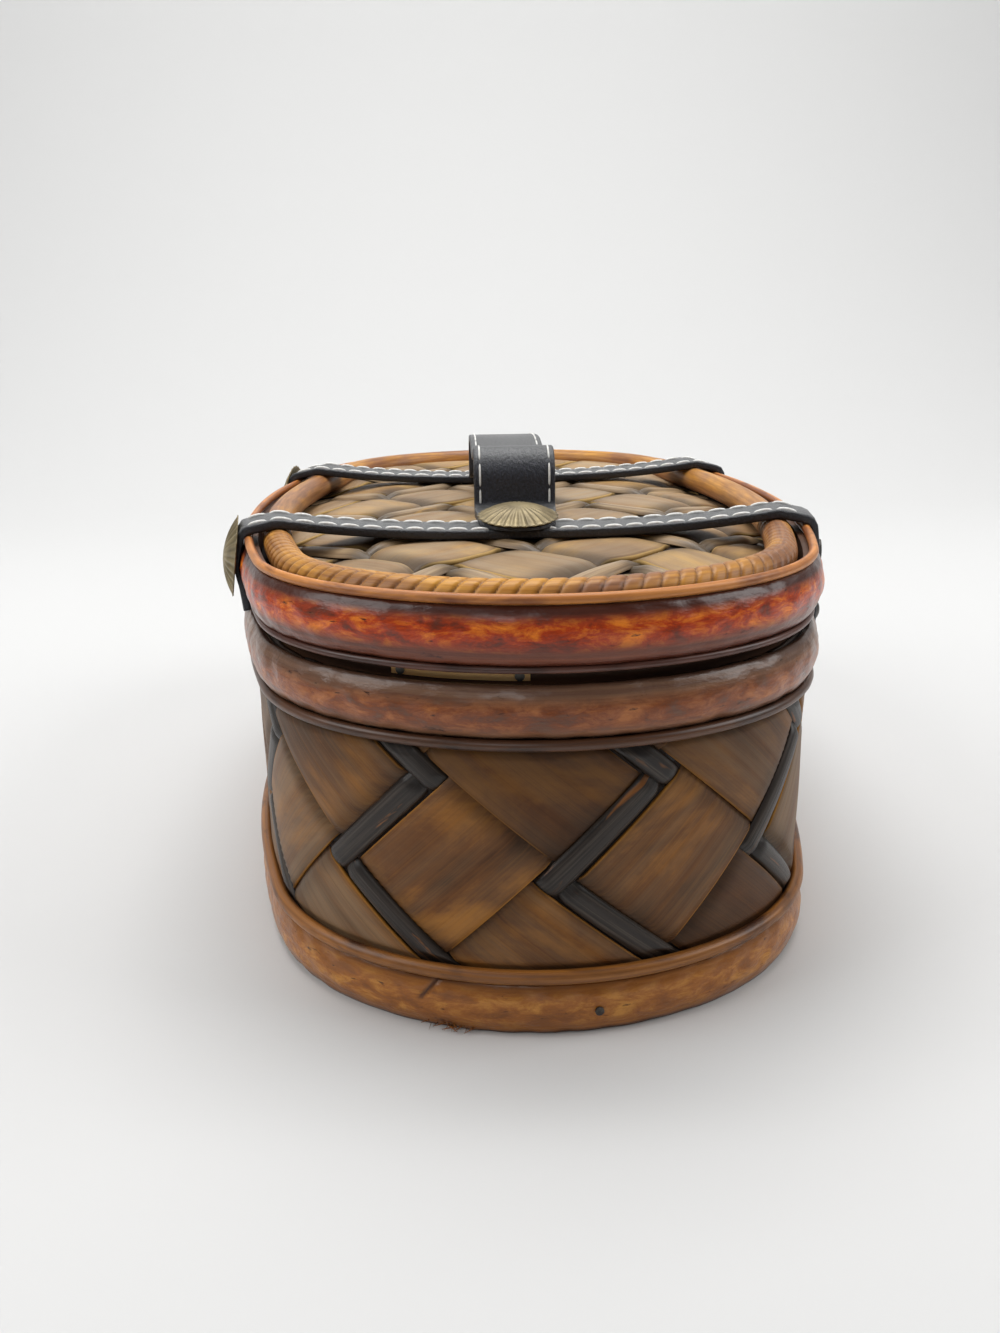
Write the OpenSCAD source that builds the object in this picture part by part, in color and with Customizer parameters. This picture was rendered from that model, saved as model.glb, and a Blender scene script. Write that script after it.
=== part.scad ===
// Oval lidded storage basket. A woven leaf wall is held between bent cane hoops, and a shallow
// woven lid with a twisted cane ring turns on two stitched straps that also carry its handle.
// The long axis is Y, the hinge side is +X, and the basket stands on the plane Z = 0.

/* [Plan outline] */
// Radius of the two end arcs of the oval, at the woven wall's outer face
end_r = 66; // [60:1:74]
// Radius of the four corner arcs of the oval
corner_r = 52; // [46:1:58]
// Radius of the two long side arcs of the oval
side_r = 290; // [270:5:320]

/* [Basket body] */
// Height of the basket without its lid
body_h = 72; // [60:1:90]
// Thickness of the woven wall
wall_t = 2.4; // [1.8:0.1:3]
// Thickness of the woven floor
floor_t = 3; // [2:0.5:4]
// Height of the cane strip under the floor
floor_strip_h = 3; // [2:0.5:5]
// Thickness of the cane strip under the floor
floor_strip_t = 2.5; // [1.5:0.5:4]
// Height of the base hoop
base_hoop_h = 11; // [8:0.5:14]
// Thickness of the base hoop at its edges
base_hoop_edge = 1.4; // [1:0.1:2]
// Swell of the base hoop beyond its edges
base_hoop_swell = 1.6; // [1:0.1:2.2]
// Diameter of the cane bead on the base hoop
base_bead_d = 3; // [2:0.1:3.6]
// Height of the rim hoop
rim_hoop_h = 10.2; // [8:0.1:14]
// Diameter of the cane bead under the rim hoop
rim_bead_d = 2.8; // [2:0.1:3.6]

/* [Collar] */
// Thickness of the collar inside the rim
collar_t = 2.2; // [1.6:0.1:3]
// Height of the collar above the rim
collar_rise = 5; // [4:0.5:7]
// Depth of the collar below the rim
collar_depth = 16; // [10:1:24]
// Thickness of the splice strip that joins the collar's ends
splice_t = 0.5; // [0.3:0.1:0.6]
// Middle of the splice, as an angle from the near end of the long axis
splice_angle = -16; // [-20:1:20]
// Angle that the splice spans
splice_span = 24; // [16:1:28]
// Distance of a splice nail from the splice's end
splice_nail_inset = 2; // [1.5:0.1:4]
// Height of a splice nail's head
splice_head_h = 0.2; // [0.1:0.05:0.25]

/* [Lid] */
// Gap between the rim and the lid
lid_gap = 2.2; // [1:0.1:3]
// Thickness of the bent strip inside the lid hoop
lid_wall_t = 1.6; // [1.2:0.1:1.9]
// Height of the lid hoop
lid_hoop_h = 11; // [8:0.1:13]
// Thickness of the lid and rim hoops at their edges
hoop_edge = 1; // [0.8:0.1:1.6]
// Swell of the lid and rim hoops beyond their edges
hoop_swell = 2; // [1.4:0.1:2.6]
// Diameter of the bead along the lid's lower edge
lid_low_bead_d = 1.4; // [1.2:0.1:2.4]
// Diameter of the bead along the lid's upper edge
lid_lip_d = 2; // [1.6:0.1:2.6]
// Thickness of the hoop inside the lid
lid_inner_t = 2.6; // [2:0.1:3.4]
// Height of the hoop inside the lid
lid_inner_h = 3.5; // [2.5:0.1:5]
// Thickness of the woven lid panel
panel_t = 2.4; // [2:0.1:3]
// Rise of the woven field above the panel's edge
panel_crown = 3.6; // [3:0.1:4.4]
// Diameter of the twisted cane ring
rope_d = 7; // [6:0.1:8]
// Inset of the twisted ring's middle from the lid wall's outer face
rope_inset = 6.2; // [5.6:0.1:7.4]

/* [Weave] */
// Pairs of leaf strips that lean each way round the wall
wall_pairs = 7; // [6:1:8]
// Slope of the strips that rise to the right
rise_slope = 1; // [0.85:0.05:1.15]
// Slope of the strips that fall to the right
fall_slope = 0.86; // [0.76:0.02:1]
// Distance from one leaf strip of the lid to the next
lid_pitch = 28.5; // [26:0.5:33]
// Lean of the lid's strips from its width
lid_lean = 48; // [42:1:52]
// Share of the pitch that a vine takes beside each leaf strip
vine_share = 0.19; // [0.15:0.01:0.24]
// Height of the wall's strips where they lie over the others
wall_relief = 0.6; // [0.4:0.1:1]
// Height of the lid's strips where they lie over the others
lid_relief = 1.4; // [0.8:0.1:1.6]

/* [Straps] */
// Width of a cross strap
strap_w = 13; // [10:0.5:16]
// Thickness of a cross strap on top of the lid
strap_t = 2.2; // [1.6:0.1:2.8]
// Thickness of a cross strap's thinned ends
strap_end_t = 1.2; // [1:0.1:1.6]
// Distance of each cross strap from the middle
strap_y = 50.5; // [47:0.5:54]
// Length over which a strap drops from the ring to the panel
strap_run = 22; // [16:1:30]
// Length of a strap's tail below the hinge line
tab_len = 14; // [11:0.5:18]

/* [Handle] */
// Width of the handle
handle_w = 20; // [16:0.5:24]
// Thickness of the handle
handle_t = 2.6; // [2:0.1:3.2]
// Rise of the handle above the cross straps
handle_rise = 18; // [17:0.5:24]
// Shift of the handle from the middle towards the hinge
handle_x = -2.5; // [-6:0.5:6]
// Bend radius under the handle's top corners
handle_top_r = 6; // [4:0.5:7]
// Bend radius above the handle's feet
handle_foot_r = 1.5; // [1:0.25:3.25]

/* [Fasteners] */
// Diameter of a concho stud
concho_d = 19.4; // [16:0.2:20]
// Height of a concho's dome
concho_h = 3; // [2.4:0.1:4]
// Thickness of a concho's sheet metal
concho_t = 0.8; // [0.6:0.1:1]
// Diameter of a rivet shank
rivet_d = 3; // [2.4:0.1:3.4]
// Diameter of a rivet's clinched cap
rivet_cap_d = 8; // [6:0.5:10]
// Height of a rivet's clinched cap
rivet_cap_h = 1; // [0.6:0.1:1.4]
// Diameter of a hinge tab's rivet head
tab_head_d = 6; // [5:0.5:7]
// Height of a hinge tab's rivet head
tab_head_h = 1.5; // [1:0.1:1.6]
// Height of the flat rivet heads on the straps' hinge side
rear_head_h = 0.6; // [0.4:0.1:0.9]
// Diameter of a hoop nail's head
nail_head_d = 1.8; // [1.4:0.1:2.4]
// Height of a hoop nail's head
nail_head_h = 0.4; // [0.3:0.1:0.6]
// Diameter of a hoop nail's shank
nail_d = 0.9; // [0.7:0.1:1.1]
// Distance of the hoops' side nails from the middle
nail_y = 24; // [16:1:34]
// Place of the base hoop's end nails, as an angle from the long axis
end_nail_angle = 7; // [-20:1:20]

/* [Stitching] */
// Length of thread from one stitch to the next
stitch_pitch = 5.2; // [4:0.1:7]
// Share of the pitch that shows as thread
stitch_share = 0.8; // [0.6:0.05:0.9]
// Thickness of the thread
thread_d = 0.8; // [0.5:0.1:1]
// Distance of a seam from the strap's edge
seam_inset = 1.6; // [1.2:0.1:2.2]

/* [Hidden] */
$fn = 180;

// Room left between pieces that lie against each other
fit = 0.1;
// Room between a concho's edge and the bend of the handle leg behind it
concho_room = 0.4;
// Room between the handle's edge and the first stitch beside it
stitch_room = 1;
// Length that a cut runs past the face it opens
over = 1;

// Sine and cosine of the directions where an end meets a corner and a corner meets a side.
// They are whole ratios, so that neighbouring arcs meet exactly.
END_TURN = [0.6, 0.8];
SIDE_TURN = [0.96, 0.28];

// Middles of the arcs
corner_x = (end_r - corner_r) * END_TURN.x;
corner_y = (side_r - corner_r) * SIDE_TURN.y;
end_centre = corner_y - (end_r - corner_r) * END_TURN.y;
side_centre = corner_x - (side_r - corner_r) * SIDE_TURN.x;

// Each arc holds its middle, its radius and the cell of the plan that it fills
cell_reach = 200;
function corner(x, y) = [x * corner_x, y * corner_y];
function past(x, y, turn) = corner(x, y) + cell_reach * [x * turn.x, y * turn.y];
function end_arc(y) =
    [[0, y * end_centre], end_r,
     [corner(-1, y), corner(1, y), past(1, y, END_TURN), past(-1, y, END_TURN)]];
function side_arc(x) =
    [[x * side_centre, 0], side_r,
     [corner(x, -1), corner(x, 1), past(x, 1, SIDE_TURN), past(x, -1, SIDE_TURN)]];
function corner_arc(x, y) =
    [corner(x, y), corner_r, [corner(x, y), past(x, y, END_TURN), past(x, y, SIDE_TURN)]];
END_NEAR = end_arc(-1);
END_FAR = end_arc(1);
OVAL = [END_NEAR, corner_arc(1, -1), side_arc(1), corner_arc(1, 1),
        END_FAR, corner_arc(-1, 1), side_arc(-1), corner_arc(-1, -1)];

// Directions where the arcs meet, from the middle of the near end round by the +X side, and the length
// along the wall's outer face up to each of them
end_angle = atan2(END_TURN.y, END_TURN.x);
side_angle = atan2(SIDE_TURN.y, SIDE_TURN.x);
MEETS = [-90, -end_angle, -side_angle, side_angle, end_angle,
         180 - end_angle, 180 - side_angle, 180 + side_angle, 180 + end_angle, 270];
function arc_of(i) = OVAL[i % len(OVAL)];
function length_to(i) =
    i == 0 ? 0 : length_to(i - 1) + (MEETS[i] - MEETS[i - 1]) * PI / 180 * arc_of(i - 1)[1];
function stretch_at(s, i = 0) = s < length_to(i + 1) ? i : stretch_at(s, i + 1);
girth = length_to(len(MEETS) - 1);

// Heights of the body
floor_z = floor_strip_h + fit;
base_bead_z = base_hoop_h + fit + base_bead_d / 2;
rim_hoop_z = body_h - rim_hoop_h;
rim_bead_z = rim_hoop_z - fit - rim_bead_d / 2;
collar_top = body_h + collar_rise;
collar_offset = -wall_t - fit;

// Heights of the lid
lid_z = body_h + lid_gap;
lid_low_bead_z = lid_z + lid_low_bead_d / 2;
lid_hoop_z = lid_z + lid_low_bead_d + fit;
lid_hoop_top = lid_hoop_z + lid_hoop_h;
lid_lip_z = lid_hoop_top + fit + lid_lip_d / 2;
lid_inner_z = collar_top + fit;
panel_z = lid_inner_z + lid_inner_h + fit;
panel_top = panel_z + panel_t;
field_top = panel_top + panel_crown;
rope_z = panel_top + fit + rope_d / 2;
rope_inner = -rope_inset - rope_d / 2 - fit;

// The weave leans both ways. A vine runs at each whole strip, with a leaf strip between it and the next
// vine. Places of the strips are given where they cross a height of the wall, or from the lid's middle.
rise_at = 7.2;
rise_z = 40;
fall_at = 14.5;
fall_z = 20;
LID_SHIFT = [16, -13.8];
wall_rows = 3;
lid_rows = 5;
// Room between the raised strips and what holds their ends, and the least height of one that shows
strip_room = 0.4;
strip_show = 2;
// Shares of the pitch that a strip's sides and its diving ends leave free
strip_gap = 0.012;
strip_tuck = 0.07;
strip_edge = vine_share / 2;

// Where strips lie over the others, as a range of strips along each lean: one leaf strip for each pair of
// numbers, and two vines for every second pair
function leaf_over(i) = [i - 1 + strip_edge + strip_gap, i - strip_edge - strip_gap];
function vine_over(i) = [i - strip_edge + strip_gap, i + strip_edge - strip_gap];
function run_over(start) = [start + strip_tuck, start + 1 - strip_tuck];
function floats(i, j) =
    (i + j) % 2 != 0
    ? [[leaf_over(i), run_over(j + strip_edge)]]
    : [[run_over(i - strip_edge), leaf_over(j)],
       [vine_over(i), run_over(j - strip_edge)],
       [run_over(i + strip_edge), vine_over(j)]];

// The wall's free height between the beads, and the pitch of its strips, which meet after one round
free_low = base_bead_z + base_bead_d / 2 + strip_room;
free_high = rim_bead_z - rim_bead_d / 2 - strip_room;
wall_pitch = girth / (2 * wall_pairs);
// Depth of the block that cuts a raised strip out of a shell round the wall
strip_block = wall_pitch / 2;

// Hoops are a flat strip with a round face on it
hoop_t = hoop_edge + hoop_swell;
base_hoop_t = base_hoop_edge + base_hoop_swell;
function swell_r(height, swell) = (height * height / 4 + swell * swell) / (2 * swell);

// A strap lies square to the curved side that it bends over, so its section turns by this much from X.
// The section's first axis is the distance from the middle of the side's arc.
strap_turn = asin(strap_y / (side_r + hoop_t));
function section_x(x, y) = (x - side_centre) * cos(strap_turn) + abs(y) * sin(strap_turn);

// The rounds that a strap bends over, as middle and radius: twisted ring, lip bead and hoop face
lid_swell_r = swell_r(lid_hoop_h, hoop_swell);
ROPE_ROUND = [[side_r - rope_inset, rope_z], rope_d / 2 + fit];
LIP_ROUND = [[side_r + hoop_edge / 2, lid_lip_z], lid_lip_d / 2 + fit];
HOOP_ROUND = [[side_r + hoop_t - lid_swell_r, lid_hoop_z + lid_hoop_h / 2], lid_swell_r + fit];
function belt_angle(one, two) =
    atan2(two[0].y - one[0].y, two[0].x - one[0].x) + acos((one[1] - two[1]) / norm(two[0] - one[0]));
function on_round(round, angle) = round[0] + round[1] * [cos(angle), sin(angle)];
lip_angle = belt_angle(ROPE_ROUND, LIP_ROUND);
hoop_angle = belt_angle(LIP_ROUND, HOOP_ROUND);

// A strap's underside over the woven field, and the slope up to the ring
strap_z = field_top + fit;
strap_top = strap_z + strap_t;
strap_dip = atan2(ROPE_ROUND[0].y + ROPE_ROUND[1] - strap_z, strap_run);
ring_leave = on_round(ROPE_ROUND, 90 + strap_dip);
strap_flat_x = ring_leave.x - (ring_leave.y - strap_z) / tan(strap_dip);

// A strap's side face, its ends and the hinge line
strap_side_x = HOOP_ROUND[0].x + HOOP_ROUND[1];
strap_face_x = strap_side_x + strap_end_t;
hinge_z = body_h;
front_end_z = lid_z;
tab_rivet_z = rim_hoop_z + rim_hoop_h / 2;

// Conchos stand clear of the hinge line by this much
concho_lift = 1.4;
concho_z = hinge_z + concho_d / 2 + concho_lift;
concho_base = fit / 2;
rear_rivet_z = lid_hoop_z + lid_hoop_h / 2;
side_rivet_depth = strap_end_t + concho_base + fit + hoop_t + lid_wall_t / 2;
dome_r = swell_r(concho_d, concho_h);

// Handle section, worked out from the concho that its leg stands behind and that covers its foot
foot_z = strap_top + fit;
foot_top = foot_z + handle_t;
foot_d = concho_d - 2 * concho_room;
leg_face = strap_y - concho_d / 2 - concho_room - handle_foot_r;
foot_bend_y = leg_face + handle_foot_r;
leg_back = leg_face - handle_t;
grip_top = strap_top + handle_rise;
grip_z = grip_top - handle_t;
grip_bend_z = grip_z - handle_top_r;
grip_bend_y = leg_back - handle_top_r;

cane = "#8a4f2a";
cane_light = "#b0713a";
leaf = "#6b4a2c";
leather = "#1d1f24";
metal = "#77694f";
thread = "#d8d4ca";
iron = "#4a4744";

// The oval, grown from the wall's outer face by an offset
module oval(offset) {
    for (arc = OVAL) intersection() {
        translate(arc[0]) circle(arc[1] + offset);
        polygon(arc[2]);
    }
    polygon([corner(-1, -1), corner(1, -1), corner(1, 1), corner(-1, 1)]);
}

module oval_plate(offset, low, high) {
    translate([0, 0, low]) linear_extrude(high - low) oval(offset);
}

module oval_ring(inner, outer, low, high) {
    translate([0, 0, low]) linear_extrude(high - low) difference() {
        oval(outer);
        oval(inner);
    }
}

// Sweeps a profile around the oval; the profile's x is its distance outside the wall's outer face
module oval_sweep() {
    for (arc = OVAL) intersection() {
        translate(arc[0]) rotate_extrude() translate([arc[1], 0]) children();
        linear_extrude(2 * cell_reach, center = true) polygon(arc[2]);
    }
}

// Puts a piece on an arc's outer face at an angle round its middle, with +X pointing outwards
module on_arc(arc, angle) {
    translate(arc[0]) rotate(angle) translate([arc[1], 0]) children();
}

// Puts a piece on the wall's outer face at a length from the near end, with +X pointing outwards
module on_wall(s) {
    along = s - girth * floor(s / girth);
    i = stretch_at(along);
    on_arc(arc_of(i), MEETS[i] + (along - length_to(i)) / arc_of(i)[1] * 180 / PI) children();
}

module hoop_profile(height, edge, swell, low) {
    face_r = swell_r(height, swell);
    translate([fit, low]) {
        square([edge - fit, height]);
        intersection() {
            translate([edge + swell - fit - face_r, height / 2]) circle(face_r);
            square([edge + swell, height]);
        }
    }
}

module bead_profile(offset, z, d) {
    translate([offset, z]) circle(d = d);
}

// A bend of the handle's section
module bend(middle, r, t, from, to) {
    reach = 2 * (r + t);
    half = (from + to) / 2;
    translate(middle) intersection() {
        difference() {
            circle(r + t);
            circle(r);
        }
        polygon([[0, 0], for (a = [from, half, to]) reach * [cos(a), sin(a)]]);
    }
}

// Half of a strap's section, as pairs of a point on the underside and one on the top face:
// flat, slope, twisted ring, lip, hoop face and the straight side down to its end.
// The flat part starts beyond the middle of the lid, where the two halves are trimmed.
bend_angle = 7;
strap_start_x = section_x(0, 0) - strap_y;
function strap_bend(round, from, to, from_t, to_t) =
    let (steps = ceil(abs(to - from) / bend_angle))
    [for (i = [0:1:steps])
        let (angle = from + (to - from) * i / steps, t = from_t + (to_t - from_t) * i / steps)
        [on_round(round, angle), on_round([round[0], round[1] + t], angle)]];
function half_strap(end_z) = concat(
    [[[strap_start_x, strap_z], [strap_start_x, strap_top]]],
    [[[strap_flat_x, strap_z], [strap_flat_x - strap_t * tan(strap_dip / 2), strap_top]]],
    strap_bend(ROPE_ROUND, 90 + strap_dip, lip_angle, strap_t, strap_t),
    strap_bend(LIP_ROUND, lip_angle, hoop_angle, strap_t, strap_end_t),
    strap_bend(HOOP_ROUND, hoop_angle, 0, strap_end_t, strap_end_t),
    [[[strap_side_x, end_z], [strap_face_x, end_z]]]);
function turned(list) = [for (i = [len(list) - 1:-1:0]) list[i]];

module strap_section(end_z) {
    half = half_strap(end_z);
    polygon(concat([for (p = half) p[0]], turned([for (p = half) p[1]])));
}

// Puts a piece square to a long side where a strap crosses it, with +X pointing outwards
module at_strap(side, y) {
    translate([side * side_centre, 0]) rotate(90 - side * 90 + side * sign(y) * strap_turn) children();
}

// Draws a strap's section out along one side and trims it to a band across the lid
module strap_band(side, y, width) {
    intersection() {
        at_strap(side, y) rotate([90, 0, 0]) linear_extrude(2 * strap_y, center = true) children();
        translate([side < 0 ? -cell_reach : 0, y - width / 2]) cube([cell_reach, width, cell_reach]);
    }
}

// A hole for a rivet's shank through a thickness, starting just below its face
module rivet_hole(t) {
    cylinder(d = rivet_d + 2 * fit, h = t + 2 * over);
}

module cross_strap(y) {
    color(leather) difference() {
        union() {
            strap_band(-1, y, strap_w) strap_section(front_end_z);
            strap_band(1, y, strap_w) strap_section(hinge_z);
        }
        translate([handle_x, y, strap_z - over]) rivet_hole(strap_t);
        for (place = [[-1, concho_z], [1, rear_rivet_z]]) on_strap_side(place.x, y, place.y)
            translate([0, 0, -strap_end_t - over]) rivet_hole(strap_end_t);
    }
}

// Stitches along one straight stretch of a section, in the plane that a strap bends in
module stitches(from, to, t) {
    count = floor(norm(to - from) / stitch_pitch);
    step = norm(to - from) / count;
    translate(from) rotate(atan2(to.y - from.y, to.x - from.x))
        for (i = [0:1:count - 1])
            translate([(i + (1 - stitch_share) / 2) * step, t + fit / 2])
                square([stitch_share * step, thread_d / 2]);
}

// The two seams of a strap, with the thread left out under the handle's foot
module strap_stitching(y) {
    color(thread) for (seam = [-1, 1], side = [-1, 1]) {
        seam_y = y + seam * (strap_w / 2 - seam_inset);
        start = section_x(handle_w / 2 + side * handle_x + stitch_room, seam_y);
        strap_band(side, seam_y, thread_d) {
            stitches([start, strap_z], [strap_flat_x, strap_z], strap_t);
            stitches([strap_flat_x, strap_z], ring_leave, strap_t);
            stitches(on_round(ROPE_ROUND, lip_angle), on_round(LIP_ROUND, lip_angle), strap_t);
        }
    }
}

// A domed stud of sheet metal, standing on the plane z = 0
module concho() {
    difference() {
        translate([0, 0, concho_h - dome_r]) intersection() {
            sphere(dome_r);
            translate([0, 0, dome_r - concho_h]) cylinder(d = concho_d + over, h = concho_h + over);
        }
        translate([0, 0, concho_h - dome_r]) sphere(dome_r - concho_t);
    }
}

// A shank that reaches from inside a concho's dome down to a depth below it
module concho_shank(depth) {
    translate([0, 0, -depth]) cylinder(d = rivet_d, h = depth + concho_h - concho_t - fit);
}

// Places a piece on the outer face of a strap's side, pointing away from the basket
module on_strap_side(side, y, z) {
    at_strap(side, y) translate([strap_face_x + concho_base, 0, z]) rotate([0, 90, 0]) children();
}

module front_conchos() {
    color(metal) for (end = [-1, 1]) on_strap_side(-1, end * strap_y, concho_z) concho();
}

module front_rivets() {
    color(iron) for (end = [-1, 1]) on_strap_side(-1, end * strap_y, concho_z) concho_shank(side_rivet_depth);
}

module rear_rivets() {
    color(iron) for (end = [-1, 1]) on_strap_side(1, end * strap_y, rear_rivet_z) {
        cylinder(d = tab_head_d, h = rear_head_h);
        translate([0, 0, -side_rivet_depth]) cylinder(d = rivet_d, h = side_rivet_depth + rear_head_h);
    }
}

// A nail driven inwards along X, with its head on a face at reach
module nail(z, reach, depth) {
    translate([0, 0, z]) rotate([0, 90, 0]) {
        translate([0, 0, reach + fit / 2]) cylinder(d = nail_head_d, h = nail_head_h);
        translate([0, 0, -depth]) cylinder(d = nail_d, h = depth + reach + fit);
    }
}

// Two nails on each long side of a hoop
module side_nails(z, reach, depth) {
    angle = asin(nail_y / side_r);
    for (side = [-1, 1], end = [-1, 1])
        on_arc(side_arc(side), 90 - side * 90 + end * angle) nail(z, reach, depth);
}

// Place along the wall and height where a rising and a falling line cross, counted in strips
function wall_cross(u, w) =
    let (rise = rise_at + u * wall_pitch - rise_z / rise_slope,
         fall = fall_at + w * wall_pitch + fall_z / fall_slope,
         z = (fall - rise) / (1 / fall_slope + 1 / rise_slope))
    [rise + z / rise_slope, z];

// One strip where it lies over the others, as a block through the wall
module wall_float(part) {
    outline = [for (p = [[0, 0], [1, 0], [1, 1], [0, 1]]) wall_cross(part[0][p.x], part[1][p.y])];
    middle = (outline[0].x + outline[2].x) / 2;
    heights = [for (p = outline) p.y];
    if (max(heights) > free_low + strip_show && min(heights) < free_high - strip_show)
        on_wall(middle) rotate([90, 0, 90]) linear_extrude(strip_block, center = true)
            polygon([for (p = outline) p - [middle, 0]]);
}

module wall_weave() {
    color(leaf) {
        oval_ring(-wall_t, 0, fit, body_h);
        intersection() {
            oval_ring(-wall_t / 2, wall_relief, free_low, free_high);
            for (i = [0:1:2 * wall_pairs - 1], row = [-wall_rows:1:wall_rows], part = floats(i, i + row))
                wall_float(part);
        }
    }
}

module floor_weave() {
    color(leaf) oval_plate(collar_offset, floor_z, floor_z + floor_t);
}

module floor_strip() {
    color(cane) oval_ring(collar_offset - floor_strip_t, collar_offset, 0, floor_strip_h);
}

module base_hoop() {
    color(cane) oval_sweep() hoop_profile(base_hoop_h, base_hoop_edge, base_hoop_swell, 0);
}

module base_bead() {
    color(cane_light) oval_sweep() bead_profile(base_bead_d / 2 + fit, base_bead_z, base_bead_d);
}

module base_hoop_nails() {
    z = base_hoop_h / 2;
    color(iron) {
        side_nails(z, base_hoop_t, wall_t);
        for (end = [-1, 1]) on_arc(end_arc(end), end * 90 + end_nail_angle) nail(z, base_hoop_t, wall_t);
    }
}

module rim_hoop() {
    color(cane) oval_sweep() hoop_profile(rim_hoop_h, hoop_edge, hoop_swell, rim_hoop_z);
}

module rim_bead() {
    color(cane_light) oval_sweep() bead_profile(rim_bead_d / 2 + fit, rim_bead_z, rim_bead_d);
}

module rim_hoop_nails() {
    color(iron) side_nails(rim_hoop_z + rim_hoop_h / 2, hoop_t, wall_t + collar_t);
}

module rim_collar() {
    color(cane_light) oval_ring(collar_offset - collar_t, collar_offset, body_h - collar_depth, collar_top);
}

module collar_splice() {
    color(cane_light) translate(END_NEAR[0]) rotate(-90 + splice_angle - splice_span / 2)
        rotate_extrude(angle = splice_span) translate([end_r + collar_offset + fit / 2, body_h + fit])
            square([splice_t, collar_rise - 2 * fit]);
}

// A nail at each end of the splice, with its head in the gap under the lid
module collar_nails() {
    splice_face = collar_offset + fit / 2 + splice_t;
    turn = splice_span / 2 - asin(splice_nail_inset / end_r);
    color(iron) for (side = [-1, 1])
        on_arc(END_NEAR, -90 + splice_angle + side * turn)
            translate([0, 0, body_h + nail_head_d / 2 + fit]) rotate([0, 90, 0]) {
                translate([0, 0, splice_face + fit / 4]) cylinder(d = nail_head_d, h = splice_head_h);
                translate([0, 0, splice_face - collar_t]) cylinder(d = nail_d, h = collar_t + fit);
            }
}

module hinge_tab(y) {
    color(leather) difference() {
        strap_band(1, y, strap_w) translate([strap_side_x, hinge_z - tab_len]) square([strap_end_t, tab_len]);
        on_strap_side(1, y, tab_rivet_z) translate([0, 0, -strap_end_t - over]) rivet_hole(strap_end_t);
    }
}

module hinge_rivets() {
    depth = strap_end_t + hoop_t + wall_t + collar_t;
    color(metal) for (end = [-1, 1]) on_strap_side(1, end * strap_y, tab_rivet_z) {
        intersection() {
            translate([0, 0, tab_head_h - swell_r(tab_head_d, tab_head_h)])
                sphere(swell_r(tab_head_d, tab_head_h));
            cylinder(d = 2 * tab_head_d, h = 2 * tab_head_h);
        }
        translate([0, 0, -depth]) cylinder(d = rivet_d, h = depth + tab_head_h / 2);
    }
}

module lid_wall() {
    color(cane_light) oval_ring(-lid_wall_t, 0, lid_z, lid_hoop_top);
}

module lid_hoop() {
    color(cane) oval_sweep() hoop_profile(lid_hoop_h, hoop_edge, hoop_swell, lid_hoop_z);
}

module lid_low_bead() {
    color(cane) oval_sweep() bead_profile(lid_low_bead_d / 2 + fit, lid_low_bead_z, lid_low_bead_d);
}

module lid_lip() {
    color(cane_light) oval_sweep() bead_profile(hoop_edge / 2, lid_lip_z, lid_lip_d);
}

module lid_hoop_nails() {
    color(iron) side_nails(lid_hoop_z + lid_hoop_h / 2, hoop_t, lid_wall_t / 2);
}

module lid_inner_hoop() {
    color(cane_light)
        oval_ring(-lid_wall_t - fit - lid_inner_t, -lid_wall_t - fit, lid_inner_z, lid_inner_z + lid_inner_h);
}

// Place on the lid where a line of one lean and a line of the other cross, counted in strips
function lid_cross(u, w) =
    let (q = LID_SHIFT - lid_pitch * [u, w])
    [(q.y - q.x) / (2 * sin(lid_lean)), (q.x + q.y) / (2 * cos(lid_lean))];

// The lid's strips where they lie over the others
module lid_floats() {
    intersection() {
        oval(rope_inner - strip_room);
        for (i = [-lid_rows:1:lid_rows], j = [-lid_rows:1:lid_rows], part = floats(i, j))
            polygon([for (p = [[0, 0], [1, 0], [1, 1], [0, 1]]) lid_cross(part[0][p.x], part[1][p.y])]);
    }
}

// A woven mat: its edge lies flat under the twisted ring and its field stands up inside the ring
module lid_panel() {
    color(leaf) difference() {
        union() {
            oval_plate(-lid_wall_t - fit, panel_z, panel_top);
            oval_plate(rope_inner, panel_z, field_top - lid_relief);
            translate([0, 0, panel_z]) linear_extrude(field_top - panel_z) lid_floats();
        }
        oval_plate(rope_inner - panel_t, panel_z - over, field_top - panel_t);
        for (end = [-1, 1])
            translate([handle_x, end * strap_y, field_top - panel_t - over]) rivet_hole(panel_t);
    }
}

module lid_rope() {
    color(cane_light) oval_sweep() bead_profile(-rope_inset, rope_z, rope_d);
}

module handle_conchos() {
    color(metal) for (end = [-1, 1])
        translate([handle_x, end * strap_y, foot_top + concho_base]) concho();
}

module handle_rivets() {
    depth = foot_top - field_top + panel_t;
    color(iron) for (end = [-1, 1])
        translate([handle_x, end * strap_y, foot_top + concho_base]) {
            concho_shank(depth + rivet_cap_h);
            translate([0, 0, -depth - rivet_cap_h - fit]) cylinder(d = rivet_cap_d, h = rivet_cap_h);
        }
}

// Turns a section in the plane of Y and Z into a strip of the handle's width
module handle_strip() {
    translate([handle_x, 0]) rotate([90, 0, 90]) linear_extrude(handle_w, center = true) children();
}

// The handle's foot narrows to a round end under its concho
module foot_outline() {
    translate([0, strap_y]) circle(d = foot_d);
    polygon([[-handle_w / 2, foot_bend_y], [handle_w / 2, foot_bend_y],
             [foot_d / 2, strap_y], [-foot_d / 2, strap_y]]);
}

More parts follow.
